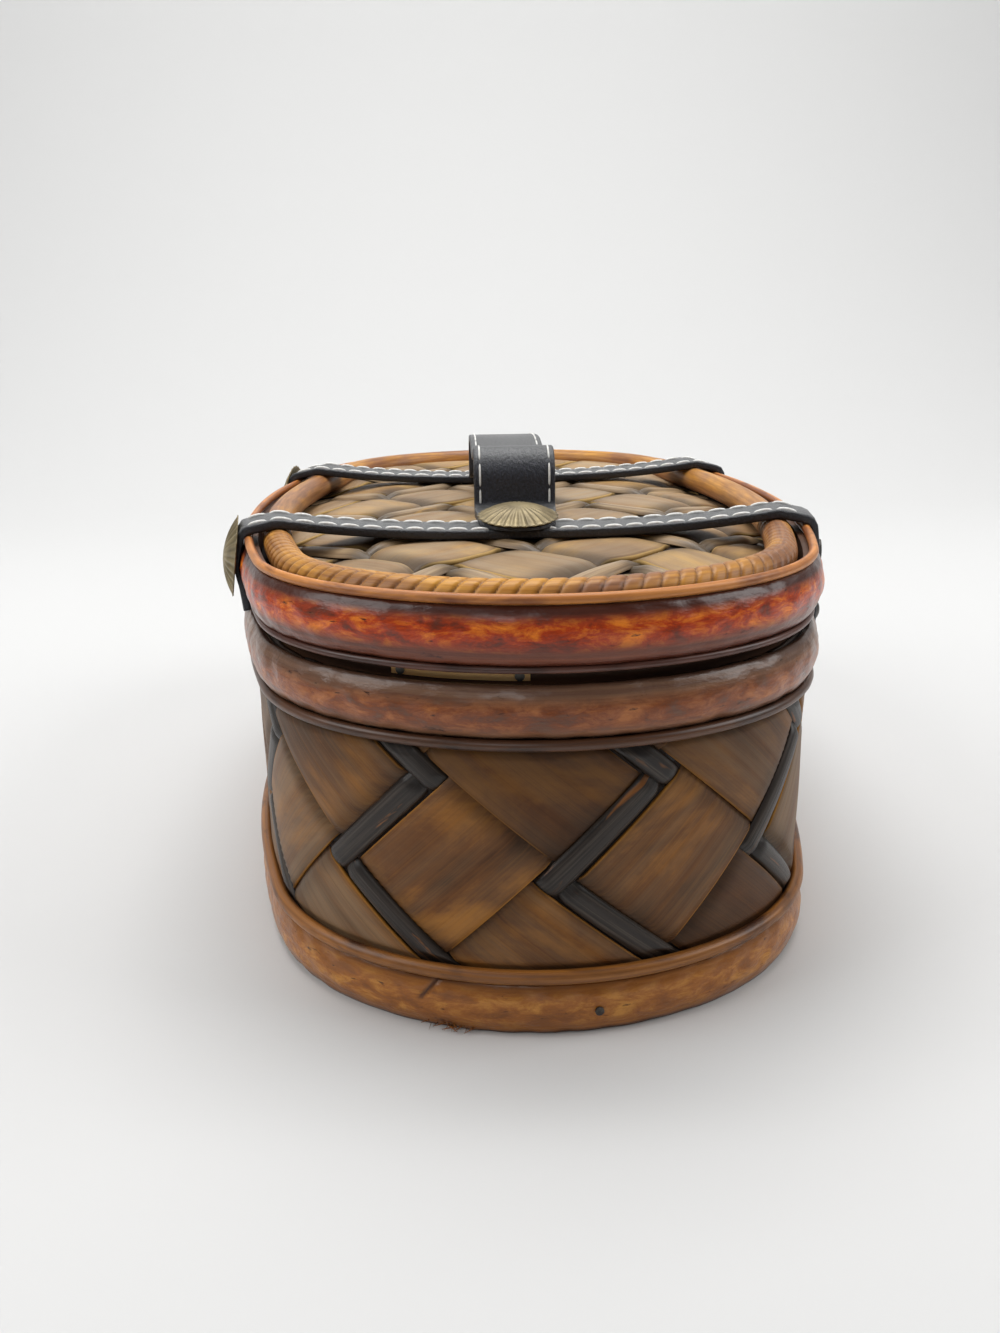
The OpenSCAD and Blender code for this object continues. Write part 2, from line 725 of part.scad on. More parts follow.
// A foot riveted on its strap, a bend and a short leg, at the far end of the handle
module handle_leg() {
    color(leather) difference() {
        union() {
            handle_strip() {
                bend([foot_bend_y, foot_top + handle_foot_r], handle_foot_r, handle_t, 180, 270);
                translate([leg_back, foot_top + handle_foot_r])
                    square([handle_t, grip_bend_z - foot_top - handle_foot_r]);
            }
            translate([handle_x, 0, foot_z]) linear_extrude(handle_t) foot_outline();
        }
        translate([handle_x, strap_y, foot_z - over]) rivet_hole(handle_t);
    }
}

module handle_grip() {
    color(leather) handle_strip() {
        translate([-grip_bend_y, grip_z]) square([2 * grip_bend_y, handle_t]);
        for (side = [0, 1]) mirror([side, 0])
            bend([grip_bend_y, grip_bend_z], handle_top_r, handle_t, 0, 90);
    }
}

module handle_stitching() {
    color(thread) for (seam = [-1, 1])
        translate([handle_x + seam * (handle_w / 2 - seam_inset), 0]) rotate([90, 0, 90])
            linear_extrude(thread_d, center = true)
                stitches([-grip_bend_y, grip_z], [grip_bend_y, grip_z], handle_t);
}

wall_weave();
floor_weave();
floor_strip();
base_hoop();
base_bead();
base_hoop_nails();
rim_hoop();
rim_bead();
rim_hoop_nails();
rim_collar();
collar_splice();
collar_nails();
hinge_tab(-strap_y);  // hinge_tab_near
hinge_tab(strap_y);  // hinge_tab_far
hinge_rivets();
lid_wall();
lid_hoop();
lid_low_bead();
lid_lip();
lid_hoop_nails();
lid_inner_hoop();
lid_panel();
lid_rope();
cross_strap(-strap_y);  // strap_near
cross_strap(strap_y);  // strap_far
strap_stitching(-strap_y);  // strap_near_stitching
strap_stitching(strap_y);  // strap_far_stitching
front_conchos();
front_rivets();
rear_rivets();
handle_conchos();
handle_rivets();
mirror([0, 1, 0]) handle_leg();  // handle_leg_near
handle_leg();  // handle_leg_far
handle_grip();
handle_stitching();
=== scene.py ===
"""Looks of the storage basket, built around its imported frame. Lengths are in millimetres until a mesh is made."""

import math
from itertools import product

import bpy
import numpy as np
from mathutils import Matrix, Vector


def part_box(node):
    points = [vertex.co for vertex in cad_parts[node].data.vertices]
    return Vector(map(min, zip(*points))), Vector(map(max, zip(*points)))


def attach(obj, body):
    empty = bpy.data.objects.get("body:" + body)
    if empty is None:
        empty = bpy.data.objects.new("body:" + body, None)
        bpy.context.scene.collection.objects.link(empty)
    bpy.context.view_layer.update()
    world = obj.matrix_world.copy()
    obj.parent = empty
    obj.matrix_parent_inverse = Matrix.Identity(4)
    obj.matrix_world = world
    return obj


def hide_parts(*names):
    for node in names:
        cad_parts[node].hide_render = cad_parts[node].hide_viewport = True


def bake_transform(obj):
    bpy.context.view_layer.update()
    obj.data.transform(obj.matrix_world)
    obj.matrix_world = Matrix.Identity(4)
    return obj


MM = 0.001
TAU = 2 * math.pi

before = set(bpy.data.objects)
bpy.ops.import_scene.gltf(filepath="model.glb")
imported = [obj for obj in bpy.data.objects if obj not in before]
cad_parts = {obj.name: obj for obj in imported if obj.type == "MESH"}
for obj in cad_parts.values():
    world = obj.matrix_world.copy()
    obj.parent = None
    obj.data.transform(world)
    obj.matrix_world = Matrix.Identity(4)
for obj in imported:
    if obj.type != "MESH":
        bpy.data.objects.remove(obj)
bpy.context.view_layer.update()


# The oval that every hoop follows: ends, corners and sides are arcs that meet without a kink
END_R, CORNER_R, SIDE_R = 66.0, 52.0, 290.0
END_TURN, SIDE_TURN = (0.6, 0.8), (0.96, 0.28)
CORNER_X = (END_R - CORNER_R) * END_TURN[0]
CORNER_Y = (SIDE_R - CORNER_R) * SIDE_TURN[1]
END_C = CORNER_Y - (END_R - CORNER_R) * END_TURN[1]
SIDE_C = CORNER_X - (SIDE_R - CORNER_R) * SIDE_TURN[0]
HALF_W = SIDE_C + SIDE_R
END_A = math.atan2(END_TURN[1], END_TURN[0])
SIDE_A = math.atan2(SIDE_TURN[1], SIDE_TURN[0])
# Its arcs from the near end round by the right side: the angles where they meet, their middles and their radii
TURNS = np.array([-math.pi / 2, -END_A, -SIDE_A, SIDE_A, END_A])
TURNS = np.concatenate([TURNS, math.pi - TURNS[::-1]])
RIGHT_MID = np.array([(0, -END_C), (CORNER_X, -CORNER_Y), (SIDE_C, 0), (CORNER_X, CORNER_Y)])
ARC_MID = np.vstack([RIGHT_MID, -RIGHT_MID, RIGHT_MID[:1]])
ARC_R = np.array([END_R, CORNER_R, SIDE_R, CORNER_R] * 2 + [END_R])
ARC_START = np.concatenate([[0], np.cumsum(np.diff(TURNS) * ARC_R)])
GIRTH = float(ARC_START[-1])


def on_oval(s, offset):
    """Points at arc length s from the near end, moved outwards by offset."""
    s = np.mod(s, GIRTH)
    k = np.clip(np.searchsorted(ARC_START, s, side="right") - 1, 0, len(ARC_R) - 1)
    angle = TURNS[k] + (s - ARC_START[k]) / ARC_R[k]
    reach = ARC_R[k] + offset
    return ARC_MID[k, 0] + reach * np.cos(angle), ARC_MID[k, 1] + reach * np.sin(angle)


def oval_offset(x, y):
    """How far points lie outside the wall's outer face."""
    x, y = np.abs(x), np.abs(y)
    turn = np.arctan2(y - CORNER_Y, x - CORNER_X)
    side = np.hypot(x - SIDE_C, y) - SIDE_R
    end = np.hypot(x, y - END_C) - END_R
    corner = np.hypot(x - CORNER_X, y - CORNER_Y) - CORNER_R
    return np.where(turn < SIDE_A, side, np.where(turn > END_A, end, corner))


def box_mm(*nodes):
    """Lowest and highest corner of CAD nodes."""
    boxes = [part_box(n) for n in nodes]
    return np.min([b[0] for b in boxes], axis=0) / MM, np.max([b[1] for b in boxes], axis=0) / MM


def ring_box(node):
    """Outermost offset, lowest and highest height of a CAD ring."""
    low, high = box_mm(node)
    return high[0] - HALF_W, low[2], high[2]


def ripple(t, period, seed, terms, first=1):
    """A smooth ripple along t that repeats after period, about -1 to 1."""
    draw = np.random.default_rng(seed)
    total = np.zeros_like(np.asarray(t, dtype=float))
    for k in range(first, first + terms):
        total = total + draw.uniform(0.4, 1) * np.sin(TAU * k * t / period + draw.uniform(0, TAU))
    return total / math.sqrt(terms)


def smooth(x):
    x = np.clip(x, 0, 1)
    return x * x * (3 - 2 * x)


def eased(x, knots):
    """A value that eases from knot to knot, each a place and a value."""
    at, value = np.array(knots).T
    k = np.clip(np.searchsorted(at, x, side="right") - 1, 0, len(at) - 2)
    return value[k] + (value[k + 1] - value[k]) * smooth((x - at[k]) / (at[k + 1] - at[k]))


def even_turns(count):
    return np.linspace(0, TAU, count, endpoint=False)


def lengths(path, close=False):
    """Distance along a path, at each of its points and, on a closed one, back at the first."""
    path = np.vstack([path, path[:1]]) if close else path
    return np.concatenate([[0], np.cumsum(np.hypot(*np.diff(path, axis=0).T))])


def there_and_back(one, two):
    """Rows that run across one face and back across the other."""
    return np.concatenate([one, two[:, ::-1]], axis=1)


# Mesh making
def make_object(name, verts, faces, material, uvs=None, marks=None):
    """A smooth mesh from points in millimetres, with a texture place per face corner and numbers per point."""
    mesh = bpy.data.meshes.new(name)
    mesh.from_pydata((np.asarray(verts) * MM).tolist(), [], faces)
    if uvs is not None:
        layer = mesh.uv_layers.new(name="grain")
        layer.data.foreach_set("uv", np.asarray(uvs, dtype=np.float32).ravel())
    for key, values in (marks or {}).items():
        layer = mesh.attributes.new(key, "FLOAT", "POINT")
        layer.data.foreach_set("value", np.asarray(values, dtype=np.float32).ravel())
    mesh.polygons.foreach_set("use_smooth", [True] * len(mesh.polygons))
    mesh.update()
    obj = bpy.data.objects.new(name, mesh)
    bpy.context.scene.collection.objects.link(obj)
    obj.data.materials.append(material)
    return obj


class Builder:
    """Gathers grids of points into one mesh."""

    def __init__(self):
        self.verts, self.faces, self.uvs, self.marks, self.count = [], [], [], {}, 0

    def grid(self, points, u, v, close_u=False, close_v=False, caps=False, **marks):
        """Adds a grid of points. A closed direction has one more u or v value than it has points."""
        nu, nv = points.shape[:2]
        base = self.count
        self.verts.append(points.reshape(-1, 3))
        self.count += nu * nv
        for key, value in marks.items():
            self.marks.setdefault(key, []).append(np.broadcast_to(value, (nu, nv)).ravel())
        i, j = np.meshgrid(np.arange(nu if close_u else nu - 1), np.arange(nv if close_v else nv - 1), indexing="ij")
        i, j = i.ravel(), j.ravel()
        i2, j2 = (i + 1) % nu, (j + 1) % nv
        quads = np.stack([i * nv + j, i2 * nv + j, i2 * nv + j2, i * nv + j2], axis=1) + base
        self.faces += quads.tolist()
        u, v = np.asarray(u, dtype=float), np.asarray(v, dtype=float)
        corners = [np.stack([u[i + a], v[j + b]], 1) for a, b in ((0, 0), (1, 0), (1, 1), (0, 1))]
        self.uvs.append(np.stack(corners, axis=1).reshape(-1, 2))
        if caps:
            first = (base + np.arange(nv)).tolist()
            last = (base + (nu - 1) * nv + np.arange(nv))[::-1].tolist()
            self.faces += [first, last]
            self.uvs.append(np.stack([np.full(nv, u[0]), v[:nv]], 1))
            self.uvs.append(np.stack([np.full(nv, u[-1]), v[:nv][::-1]], 1))
        return self

    def build(self, name, material):
        marks = {k: np.concatenate(m) for k, m in self.marks.items()}
        return make_object(name, np.concatenate(self.verts), self.faces, material, np.concatenate(self.uvs), marks)


# Materials. Colours are in display levels, 0 to 255
MIX_IN, MIX_OUT = (0, 6, 7), 2


def srgb(*levels):
    return tuple((c / 255 / 12.92) if c <= 10 else ((c / 255 + 0.055) / 1.055) ** 2.4 for c in levels)


class Look:
    """A material and the node helpers that the looks share."""

    def __init__(self, name, **sockets):
        self.material = bpy.data.materials.new(name)
        self.material.use_nodes = True
        self.tree = self.material.node_tree
        self.shader = self.tree.nodes["Principled BSDF"]
        for key, value in sockets.items():
            self.shader.inputs[key.replace("_", " ")].default_value = value

    def node(self, kind, links=None, values=None, **props):
        node = self.tree.nodes.new("ShaderNode" + kind)
        for key, value in props.items():
            setattr(node, key, value)
        for key, value in (values or {}).items():
            node.inputs[key].default_value = value
        for key, value in (links or {}).items():
            self.tree.links.new(value, node.inputs[key])
        return node

    def noise(self, scale, detail=4.0, rough=0.55, warp=0.0, uv=True):
        """Noise over the stretched grain coordinates, or over the object's own."""
        source = self.node("UVMap", uv_map="grain").outputs["UV"] if uv else self.node("TexCoord").outputs["Object"]
        place = self.node("Mapping", {"Vector": source}, {"Scale": scale}).outputs["Vector"]
        values = {"Scale": 1.0, "Detail": detail, "Roughness": rough, "Distortion": warp}
        return self.node("TexNoise", {"Vector": place}, values).outputs["Fac"]

    def mark(self, name):
        return self.node("Attribute", attribute_name=name).outputs["Fac"]

    def ramp(self, fac, stops):
        node = self.node("ValToRGB", {"Fac": fac})
        points = node.color_ramp.elements
        while len(points) < len(stops):
            points.new(0.5)
        for point, (at, colour) in zip(points, stops):
            point.position = at
            point.color = (*srgb(*colour), 1)
        return node.outputs["Color"]

    def level(self, fac, low, high):
        """Stretches low to high over 0 to 1."""
        return self.node("MapRange", {"Value": fac}, {"From Min": low, "From Max": high}).outputs["Result"]

    def feed(self, value, node, socket):
        """Sets a node's socket to a number or a colour, or links it to an output."""
        socket = node.inputs[socket]
        if isinstance(value, (int, float)):
            socket.default_value = value
        elif isinstance(value, tuple):
            socket.default_value = (*srgb(*value), 1)
        else:
            self.tree.links.new(value, socket)

    def mix(self, fac, a, b):
        node = self.node("Mix", data_type="RGBA")
        for index, value in zip(MIX_IN, (fac, a, b)):
            self.feed(value, node, index)
        return node.outputs[MIX_OUT]

    def times(self, a, b):
        node = self.node("Math", operation="MULTIPLY")
        for index, value in enumerate((a, b)):
            self.feed(value, node, index)
        return node.outputs[0]

    def done(self, tone, *wear_and_shade):
        """Sets the colour and gives the material. The optional colour is mixed in where the crevice mark is, which
        on cane, leaf, vine and rope is painted shade, and comes with a bump's height, strength and depth."""
        if wear_and_shade:
            crevice, height, strength, depth = wear_and_shade
            tone = self.mix(self.mark("crevice"), tone, crevice)
            bump = self.node("Bump", {"Height": height}, {"Strength": strength, "Distance": depth * MM})
            self.feed(bump.outputs["Normal"], self.shader, "Normal")
        self.feed(tone, self.shader, "Base Color")
        return self.material


def leaf_look(name, dark, middle, gold, grey, edge):
    """A dried leaf strip: soft clouds of colour, fine fibres, a painted highlight on its cut edges, and painted shade
    at its tucked ends and where it lies under others.
    """
    look = Look(name, Roughness=0.5, Specular_IOR_Level=0.22)
    fibre = look.noise((0.015, 2.4, 1), detail=5, rough=0.6)
    cloud = look.noise((0.03, 0.05, 1), detail=6, rough=0.6, warp=0.4)
    streak = look.noise((0.012, 0.2, 1), detail=3)
    tone = look.ramp(cloud, [(0.34, dark), (0.5, middle), (0.64, gold)])
    tone = look.mix(look.times(look.mark("tint"), look.level(streak, 0.25, 0.6)), tone, grey)
    tone = look.mix(look.times(look.level(fibre, 0.5, 0.8), 0.3), tone, gold)
    tone = look.mix(look.times(look.level(fibre, 0.5, 0.25), 0.3), tone, dark)
    tone = look.mix(look.level(look.mark("edge"), 0.972, 1.0), tone, edge)
    tone = look.mix(look.times(look.mark("age"), 0.75), tone, dark)
    return look.done(tone, (24, 15, 9), fibre, 0.25, 0.2)


def vine_look(name, dark, middle, pale, worn_tone):
    look = Look(name, Roughness=0.4, Specular_IOR_Level=0.4)
    streak = look.noise((0.03, 1.6, 1), detail=6, rough=0.6)
    wear_and_shade = look.noise((0.06, 0.5, 1), warp=0.6)
    tone = look.ramp(streak, [(0.3, dark), (0.52, middle), (0.78, pale)])
    tone = look.mix(look.level(wear_and_shade, 0.62, 0.7), tone, worn_tone)
    return look.done(tone, (14, 10, 8), streak, 0.45, 0.3)


STRIPE_CORE = 0.35


def cane_look(name, stripe, edges, dark, middle, width):
    """Bent cane: a mottled stripe along its face, at a middle and with a half width, between plainer edges."""
    look = Look(name, Roughness=0.34, Specular_IOR_Level=0.3, Coat_Weight=0.3, Coat_Roughness=0.2)
    grain = look.noise((0.02, 0.9, 1), detail=6, rough=0.6)
    blotch = look.noise((0.14, 0.32, 1), detail=6, rough=0.68, warp=0.45)
    spots = look.noise((0.22, 0.7, 1), rough=0.6, warp=0.6)
    dents = look.noise((0.12, 0.25, 1), rough=0.6)
    orange = look.ramp(blotch, [(0.34, stripe[0]), (0.5, stripe[1]), (0.66, stripe[2])])
    plain = look.ramp(grain, [(0.3, edges[0]), (0.7, edges[1])])
    face = look.mark("face")
    below, above = (look.level(face, middle + w, middle + w * STRIPE_CORE) for w in (-width, width))
    band = look.times(look.times(below, above), look.level(blotch, 0.26, 0.46))
    tone = look.mix(band, plain, orange)
    tone = look.mix(look.level(spots, 0.64, 0.72), tone, dark)
    look.feed(look.level(blotch, -0.5, 2.3), look.shader, "Roughness")
    return look.done(tone, dark, dents, 0.7, 0.9)


def bead_look(name, low, high, dark, roughness=0.42):
    """Thin split cane with a long grain."""
    look = Look(name, Roughness=roughness)
    grain = look.noise((0.02, 1.0, 1), detail=6, rough=0.6)
    blotch = look.noise((0.06, 0.2, 1), warp=0.5)
    tone = look.ramp(grain, [(0.28, low), (0.7, high)])
    tone = look.mix(look.level(blotch, 0.48, 0.68), tone, dark)
    return look.done(tone, dark, grain, 0.3, 0.2)


def rope_look():
    """The cane ring: golden and duller brown in long patches, with painted shade that turns its lower side brown."""
    look = Look("rope_cane", Roughness=0.42, Specular_IOR_Level=0.3, Coat_Weight=0.06, Coat_Roughness=0.25)
    grain = look.noise((0.05, 0.9, 1), detail=5, rough=0.6)
    patch = look.noise((0.03, 0.08, 1), warp=0.5)
    gold = look.ramp(grain, [(0.3, (162, 102, 34)), (0.7, (224, 163, 66))])
    brown = look.ramp(grain, [(0.3, (118, 76, 50)), (0.7, (172, 120, 78))])
    tone = look.mix(look.level(patch, 0.4, 0.62), brown, gold)
    tone = look.mix(look.level(look.mark("face"), 0.72, 0.2), tone, brown)
    return look.done(tone, (74, 42, 24), grain, 0.3, 0.2)


def leather_look():
    """Black grained leather, greyer on the faces that lie upwards: a painted sheen."""
    look = Look("leather", Roughness=0.4, Coat_Weight=0.2, Coat_Roughness=0.35)
    pebble = look.noise((1.5, 1.5, 1), rough=0.62)
    tone = look.ramp(pebble, [(0.3, (18, 20, 26)), (0.7, (50, 53, 66))])
    painted_sheen = look.ramp(pebble, [(0.3, (62, 63, 65)), (0.7, (92, 93, 94))])
    tone = look.mix(look.mark("upper"), tone, painted_sheen)
    return look.done(tone, (14, 14, 16), pebble, 0.75, 0.5)


def thread_look():
    look = Look("thread", Roughness=0.7)
    twist = look.noise((1.5, 1.5, 1), detail=2)
    return look.done(look.ramp(twist, [(0.3, (222, 220, 214)), (0.7, (246, 245, 242))]))


def brass_look():
    look = Look("brass", Roughness=0.45, Metallic=0.45)
    patina = look.noise((260, 260, 260), uv=False)
    tone = look.ramp(patina, [(0.3, (114, 101, 74)), (0.7, (160, 144, 107))])
    return look.done(look.mix(look.times(look.mark("crevice"), 0.5), tone, (74, 64, 44)))


def plain_look(name, low, high, scale, roughness=0.6, metallic=0.0):
    """For small or inner pieces that keep their CAD mesh."""
    look = Look(name, Roughness=roughness, Metallic=metallic)
    grain = look.noise(scale, detail=5, rough=0.6, uv=False)
    return look.done(look.ramp(grain, [(0.3, low), (0.7, high)]))


LEAF = leaf_look("leaf", (54, 30, 15), (114, 67, 26), (180, 117, 40), (146, 123, 96), (182, 124, 50))
VINE = vine_look("vine", (22, 17, 14), (48, 39, 33), (92, 82, 72), (140, 86, 34))
# The lid's leaf and vine colours are lighter and greyer than the wall's: partly dust, and partly a painted sheen of the
# lid seen at a grazing angle.
LID_LEAF = leaf_look("lid_leaf", (116, 84, 50), (160, 124, 80), (206, 164, 96), (170, 150, 124), (222, 184, 116))
LID_VINE = vine_look("lid_vine", (124, 100, 72), (164, 138, 106), (194, 170, 134), (190, 152, 98))
# The dark core material stands for the shade seen through the weave's gaps: painted shade.
SHADE_CORE = plain_look("core", (22, 14, 9), (40, 26, 16), (60, 60, 60), roughness=0.9)
LID_CANE = cane_look("lid_cane", ((104, 27, 8), (182, 62, 14), (240, 134, 34)), ((86, 42, 30), (130, 72, 48)),
                     (54, 19, 10), middle=0.56, width=0.34)
RIM_CANE = cane_look("rim_cane", ((96, 45, 24), (136, 73, 36), (178, 108, 56)), ((94, 64, 49), (138, 103, 78)),
                     (48, 25, 15), middle=0.42, width=0.4)
BASE_CANE = cane_look("base_cane", ((126, 72, 26), (168, 102, 38), (206, 142, 60)), ((120, 71, 29), (168, 106, 46)),
                      (66, 35, 15), middle=0.5, width=0.44)
LIP_CANE = bead_look("lip_cane", (162, 94, 40), (222, 148, 74), (120, 64, 30))
LOW_CANE = bead_look("low_cane", (76, 44, 36), (108, 68, 54), (52, 28, 20), roughness=0.36)
RIM_BEAD_CANE = bead_look("rim_bead_cane", (66, 40, 27), (104, 68, 44), (44, 26, 17), roughness=0.36)
BASE_BEAD_CANE = bead_look("base_bead_cane", (112, 66, 26), (170, 110, 46), (70, 38, 17), roughness=0.4)
ROPE_CANE = rope_look()
LEATHER, THREAD, BRASS = leather_look(), thread_look(), brass_look()
INNER_CANE = plain_look("inner_cane", (60, 36, 20), (98, 62, 36), (30, 30, 420))
# The splice strip's colour is lighter than the cane's own, to make up for the shade in the narrow gap where it lies:
# painted light.
STRIP_CANE = plain_look("strip_cane", (244, 184, 112), (255, 210, 146), (60, 60, 500))
STEEL = plain_look("steel", (60, 57, 54), (104, 100, 96), (400, 400, 400), roughness=0.45, metallic=0.8)


def add(obj, body, slot, *nodes):
    """Ties a piece to its CAD body and hides the CAD nodes that it stands for. Its material slot is not used."""
    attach(obj, body)
    if nodes:
        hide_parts(*nodes)


# Hoops, beads and the twisted ring. Each starts and ends behind the near strap's hinge
STRAP_Y = -float(np.mean([corner[1] for corner in box_mm("strap_near")]))
JOINT_S = float(ARC_START[2]) + (SIDE_A - math.asin(STRAP_Y / SIDE_R)) * SIDE_R


def round_places(count):
    return JOINT_S + np.linspace(0, GIRTH, count, endpoint=False)


def dents(s, face, seed, terms=22):
    """Shallow dents along and across a hoop's face, about -1 to 1."""
    draw = np.random.default_rng(seed)
    total = np.zeros(np.broadcast(s, face).shape)
    for _ in range(terms):
        turns, rows = draw.integers(12, 95), draw.uniform(-2.2, 2.2)
        total += draw.uniform(0.3, 1) * np.sin(TAU * (turns * s / GIRTH + rows * face) + draw.uniform(0, TAU))
    return total / math.sqrt(terms)


def sweep(points_u, profile, face, seed, wobble=0.16, dent=0.0, cut=0.0):
    """A closed sweep of a profile of offsets and heights, with a little hand-made wobble and dents."""
    s = round_places(points_u)
    out = ripple(s, GIRTH, seed, terms=8, first=3) * wobble
    lift = (1 + ripple(s, GIRTH, seed + 1, terms=7, first=2) / 3) * wobble * 0.6
    pressed = dent * np.minimum(dents(s[:, None], face, seed + 2), 0.4) if dent else 0
    x, y = on_oval(s[:, None], profile[:, 0] + out[:, None] + pressed - cut)
    z = profile[:, 1] + lift[:, None]
    return np.stack([x, y, z], axis=-1), np.append(s, JOINT_S + GIRTH), lengths(profile, True)


def face_radius(height, swell):
    """Radius of a hoop's round face."""
    return (height * height / 4 + swell * swell) / (2 * swell)


def hoop_profile(inner, edge, outer, low, high, steps=16):
    """A flat strip with a round face, as a closed loop, and each point's place across the face."""
    height = high - low
    radius = face_radius(height, outer - edge)
    reach = math.asin(min(1, height / 2 / radius))
    turn = np.linspace(-reach, reach, steps)
    arc = np.stack([outer - radius + radius * np.cos(turn), (low + high) / 2 + radius * np.sin(turn)], 1)
    back = np.array([[inner, high], [inner, (low + high) / 2], [inner, low]])
    face = np.concatenate([(arc[:, 1] - low) / height, [1, 0.5, 0]])
    return np.vstack([arc, back]), face


def bead_profile(offset, z, d, steps=14):
    turn = np.linspace(-math.pi, math.pi, steps, endpoint=False)
    loop = np.stack([offset + d / 2 * np.cos(turn), z + d / 2 * np.sin(turn)], 1)
    return loop, 0.5 + 0.5 * np.sin(turn)


HOOP_STEPS, BEAD_STEPS = 1400, 700
HOOP_FIT, HOOP_DENT = 0.1, 0.2
HOOP_EDGE, GROOVE_FADE, HOOP_SHADE = 0.08, 0.06, 0.75
SPLIT_SLANT, SPLIT_HALF, SPLIT_DEPTH, SPLIT_FADE = 0.8, 0.9, 0.6, 1.5
FIBRE_R, FIBRE_TAPER = 0.2, 0.7
BEAD_BACK, BEAD_SHADE = 0.62, 0.7


def split(s, profile, at, low):
    """A slanting split in a hoop's face from a height up: 1 along its middle, 0 beside it and behind the face."""
    across_s = s[:, None] - at - SPLIT_SLANT * (profile[:, 1] - low)
    gap = np.abs(np.mod(across_s + GIRTH / 2, GIRTH) - GIRTH / 2)
    front = profile[:, 0] > HOOP_FIT + 0.1
    return smooth(1 - gap / SPLIT_HALF) * smooth((profile[:, 1] - low) / SPLIT_FADE) * front


def add_fibres(shape, start, end, offset, count=16):
    """Loose fibres that stand out from a hoop's lower edge."""
    draw = np.random.default_rng(17)
    t = np.linspace(0, 1, 6)[:, None]
    turn = even_turns(6)
    for _ in range(count):
        s = draw.uniform(start, end) + draw.uniform(-2.5, 2.5) * t
        reach = offset + draw.uniform(1.2, 3.0) * t
        z = draw.uniform(0.5, 1.4) + draw.uniform(-0.2, 0.5) * t
        radius = FIBRE_R * (1 - FIBRE_TAPER * t)
        x, y = on_oval(s, reach + radius * np.cos(turn))
        points = np.stack([x, y, z + radius * np.sin(turn)], -1)
        shape.grid(points, t[:, 0], np.linspace(0, 1, 7), close_v=True, caps=True, face=0.1, crevice=0.0)


def make_hoop(name, body, material, edge, seed, groove=HOOP_EDGE, split_at=None, frayed=None):
    """A bent hoop, with painted shade where its face turns in at the edges, in a groove along its upper edge and in a
    split where it has one.
    """
    outer, low, high = ring_box(name)
    profile, face = hoop_profile(HOOP_FIT, edge, outer, low, high)
    opened = split(round_places(HOOP_STEPS), profile, *split_at) if split_at else np.zeros(1)
    grooved = smooth((face - 1 + groove) / GROOVE_FADE)
    crevice = np.maximum(smooth((HOOP_EDGE - face) / HOOP_EDGE), grooved) * HOOP_SHADE
    swept = sweep(HOOP_STEPS, profile, face, seed, dent=HOOP_DENT, cut=SPLIT_DEPTH * opened)
    shape = Builder().grid(*swept, True, True, face=face, crevice=np.maximum(crevice, opened))
    if frayed:
        add_fibres(shape, *frayed, edge + 0.4)
    add(shape.build(name + "_cane", material), body, "cane_brown", name)


def make_bead(name, body, material, seed, slot, slim=1.0):
    """A thin cane. A slim one lies nearer the wall and against the hoop above it."""
    outer, low, high = ring_box(name)
    d = (high - low) * slim
    outer = outer - (high - low) + d
    profile, face = bead_profile(outer - d / 2, high - d / 2, d)
    swept = sweep(BEAD_STEPS, profile, face, seed, wobble=0.1)
    # Its side towards the wall is darkened: painted shade.
    inward = profile[:, 0] < outer - d * BEAD_BACK
    shape = Builder().grid(*swept, True, True, face=face, crevice=inward * BEAD_SHADE)
    add(shape.build(name + "_cane", material), body, slot, name)


ROPE_STEPS, ROPE_AROUND = 2600, 36
ROPE_STRANDS, ROPE_LEAD, ROPE_CUT, ROPE_SHARP = 3, 11.4, 0.6, 3.2
TWIST_END, TWIST_FADE = -40.0, 9.0
PANEL_DROP, FAR_RISE, RISE_FROM, RISE_RUN = 1.6, 4.0, 40.0, 50.0
PANEL_CLEAR = 0.3


def panel_edge(y, rope_low):
    """Height of the lid weave's edge: under the ring, and rising into it towards the far end."""
    return rope_low - PANEL_DROP + FAR_RISE * smooth((y - RISE_FROM) / RISE_RUN)


def make_rope():
    """The cane ring: twisted round the near end, and one smooth cane from the near strap on."""
    outer, low, high = ring_box("lid_rope")
    d = high - low
    offset, z = outer - d / 2, (low + high) / 2
    turns = round((GIRTH + TAU * offset) / ROPE_LEAD)
    s = round_places(ROPE_STEPS)
    turn = even_turns(ROPE_AROUND)
    phase = ROPE_STRANDS * (turn - TAU * turns * s[:, None] / GIRTH)
    groove = (1 - np.abs(np.sin(phase / 2))) ** ROPE_SHARP
    twisted = smooth((TWIST_END - on_oval(s, offset)[1]) / TWIST_FADE)[:, None]
    radius = d / 2 - ROPE_CUT * groove * twisted
    x, y = on_oval(s[:, None], offset + radius * np.cos(turn))
    height = np.maximum(z + radius * np.sin(turn), panel_edge(y, low) + PANEL_CLEAR)
    u, v = np.append(s, JOINT_S + GIRTH), np.linspace(0, math.pi * d, ROPE_AROUND + 1)
    # The twist's grooves are darkened: painted shade.
    dark = groove ** 1.6 * 0.85 * twisted
    shape = Builder().grid(np.stack([x, y, height], -1), u, v, True, True, crevice=dark, face=0.5 + 0.5 * np.sin(turn))
    add(shape.build("lid_rope_cane", ROPE_CANE), "lid", "cane_light", "lid_rope")


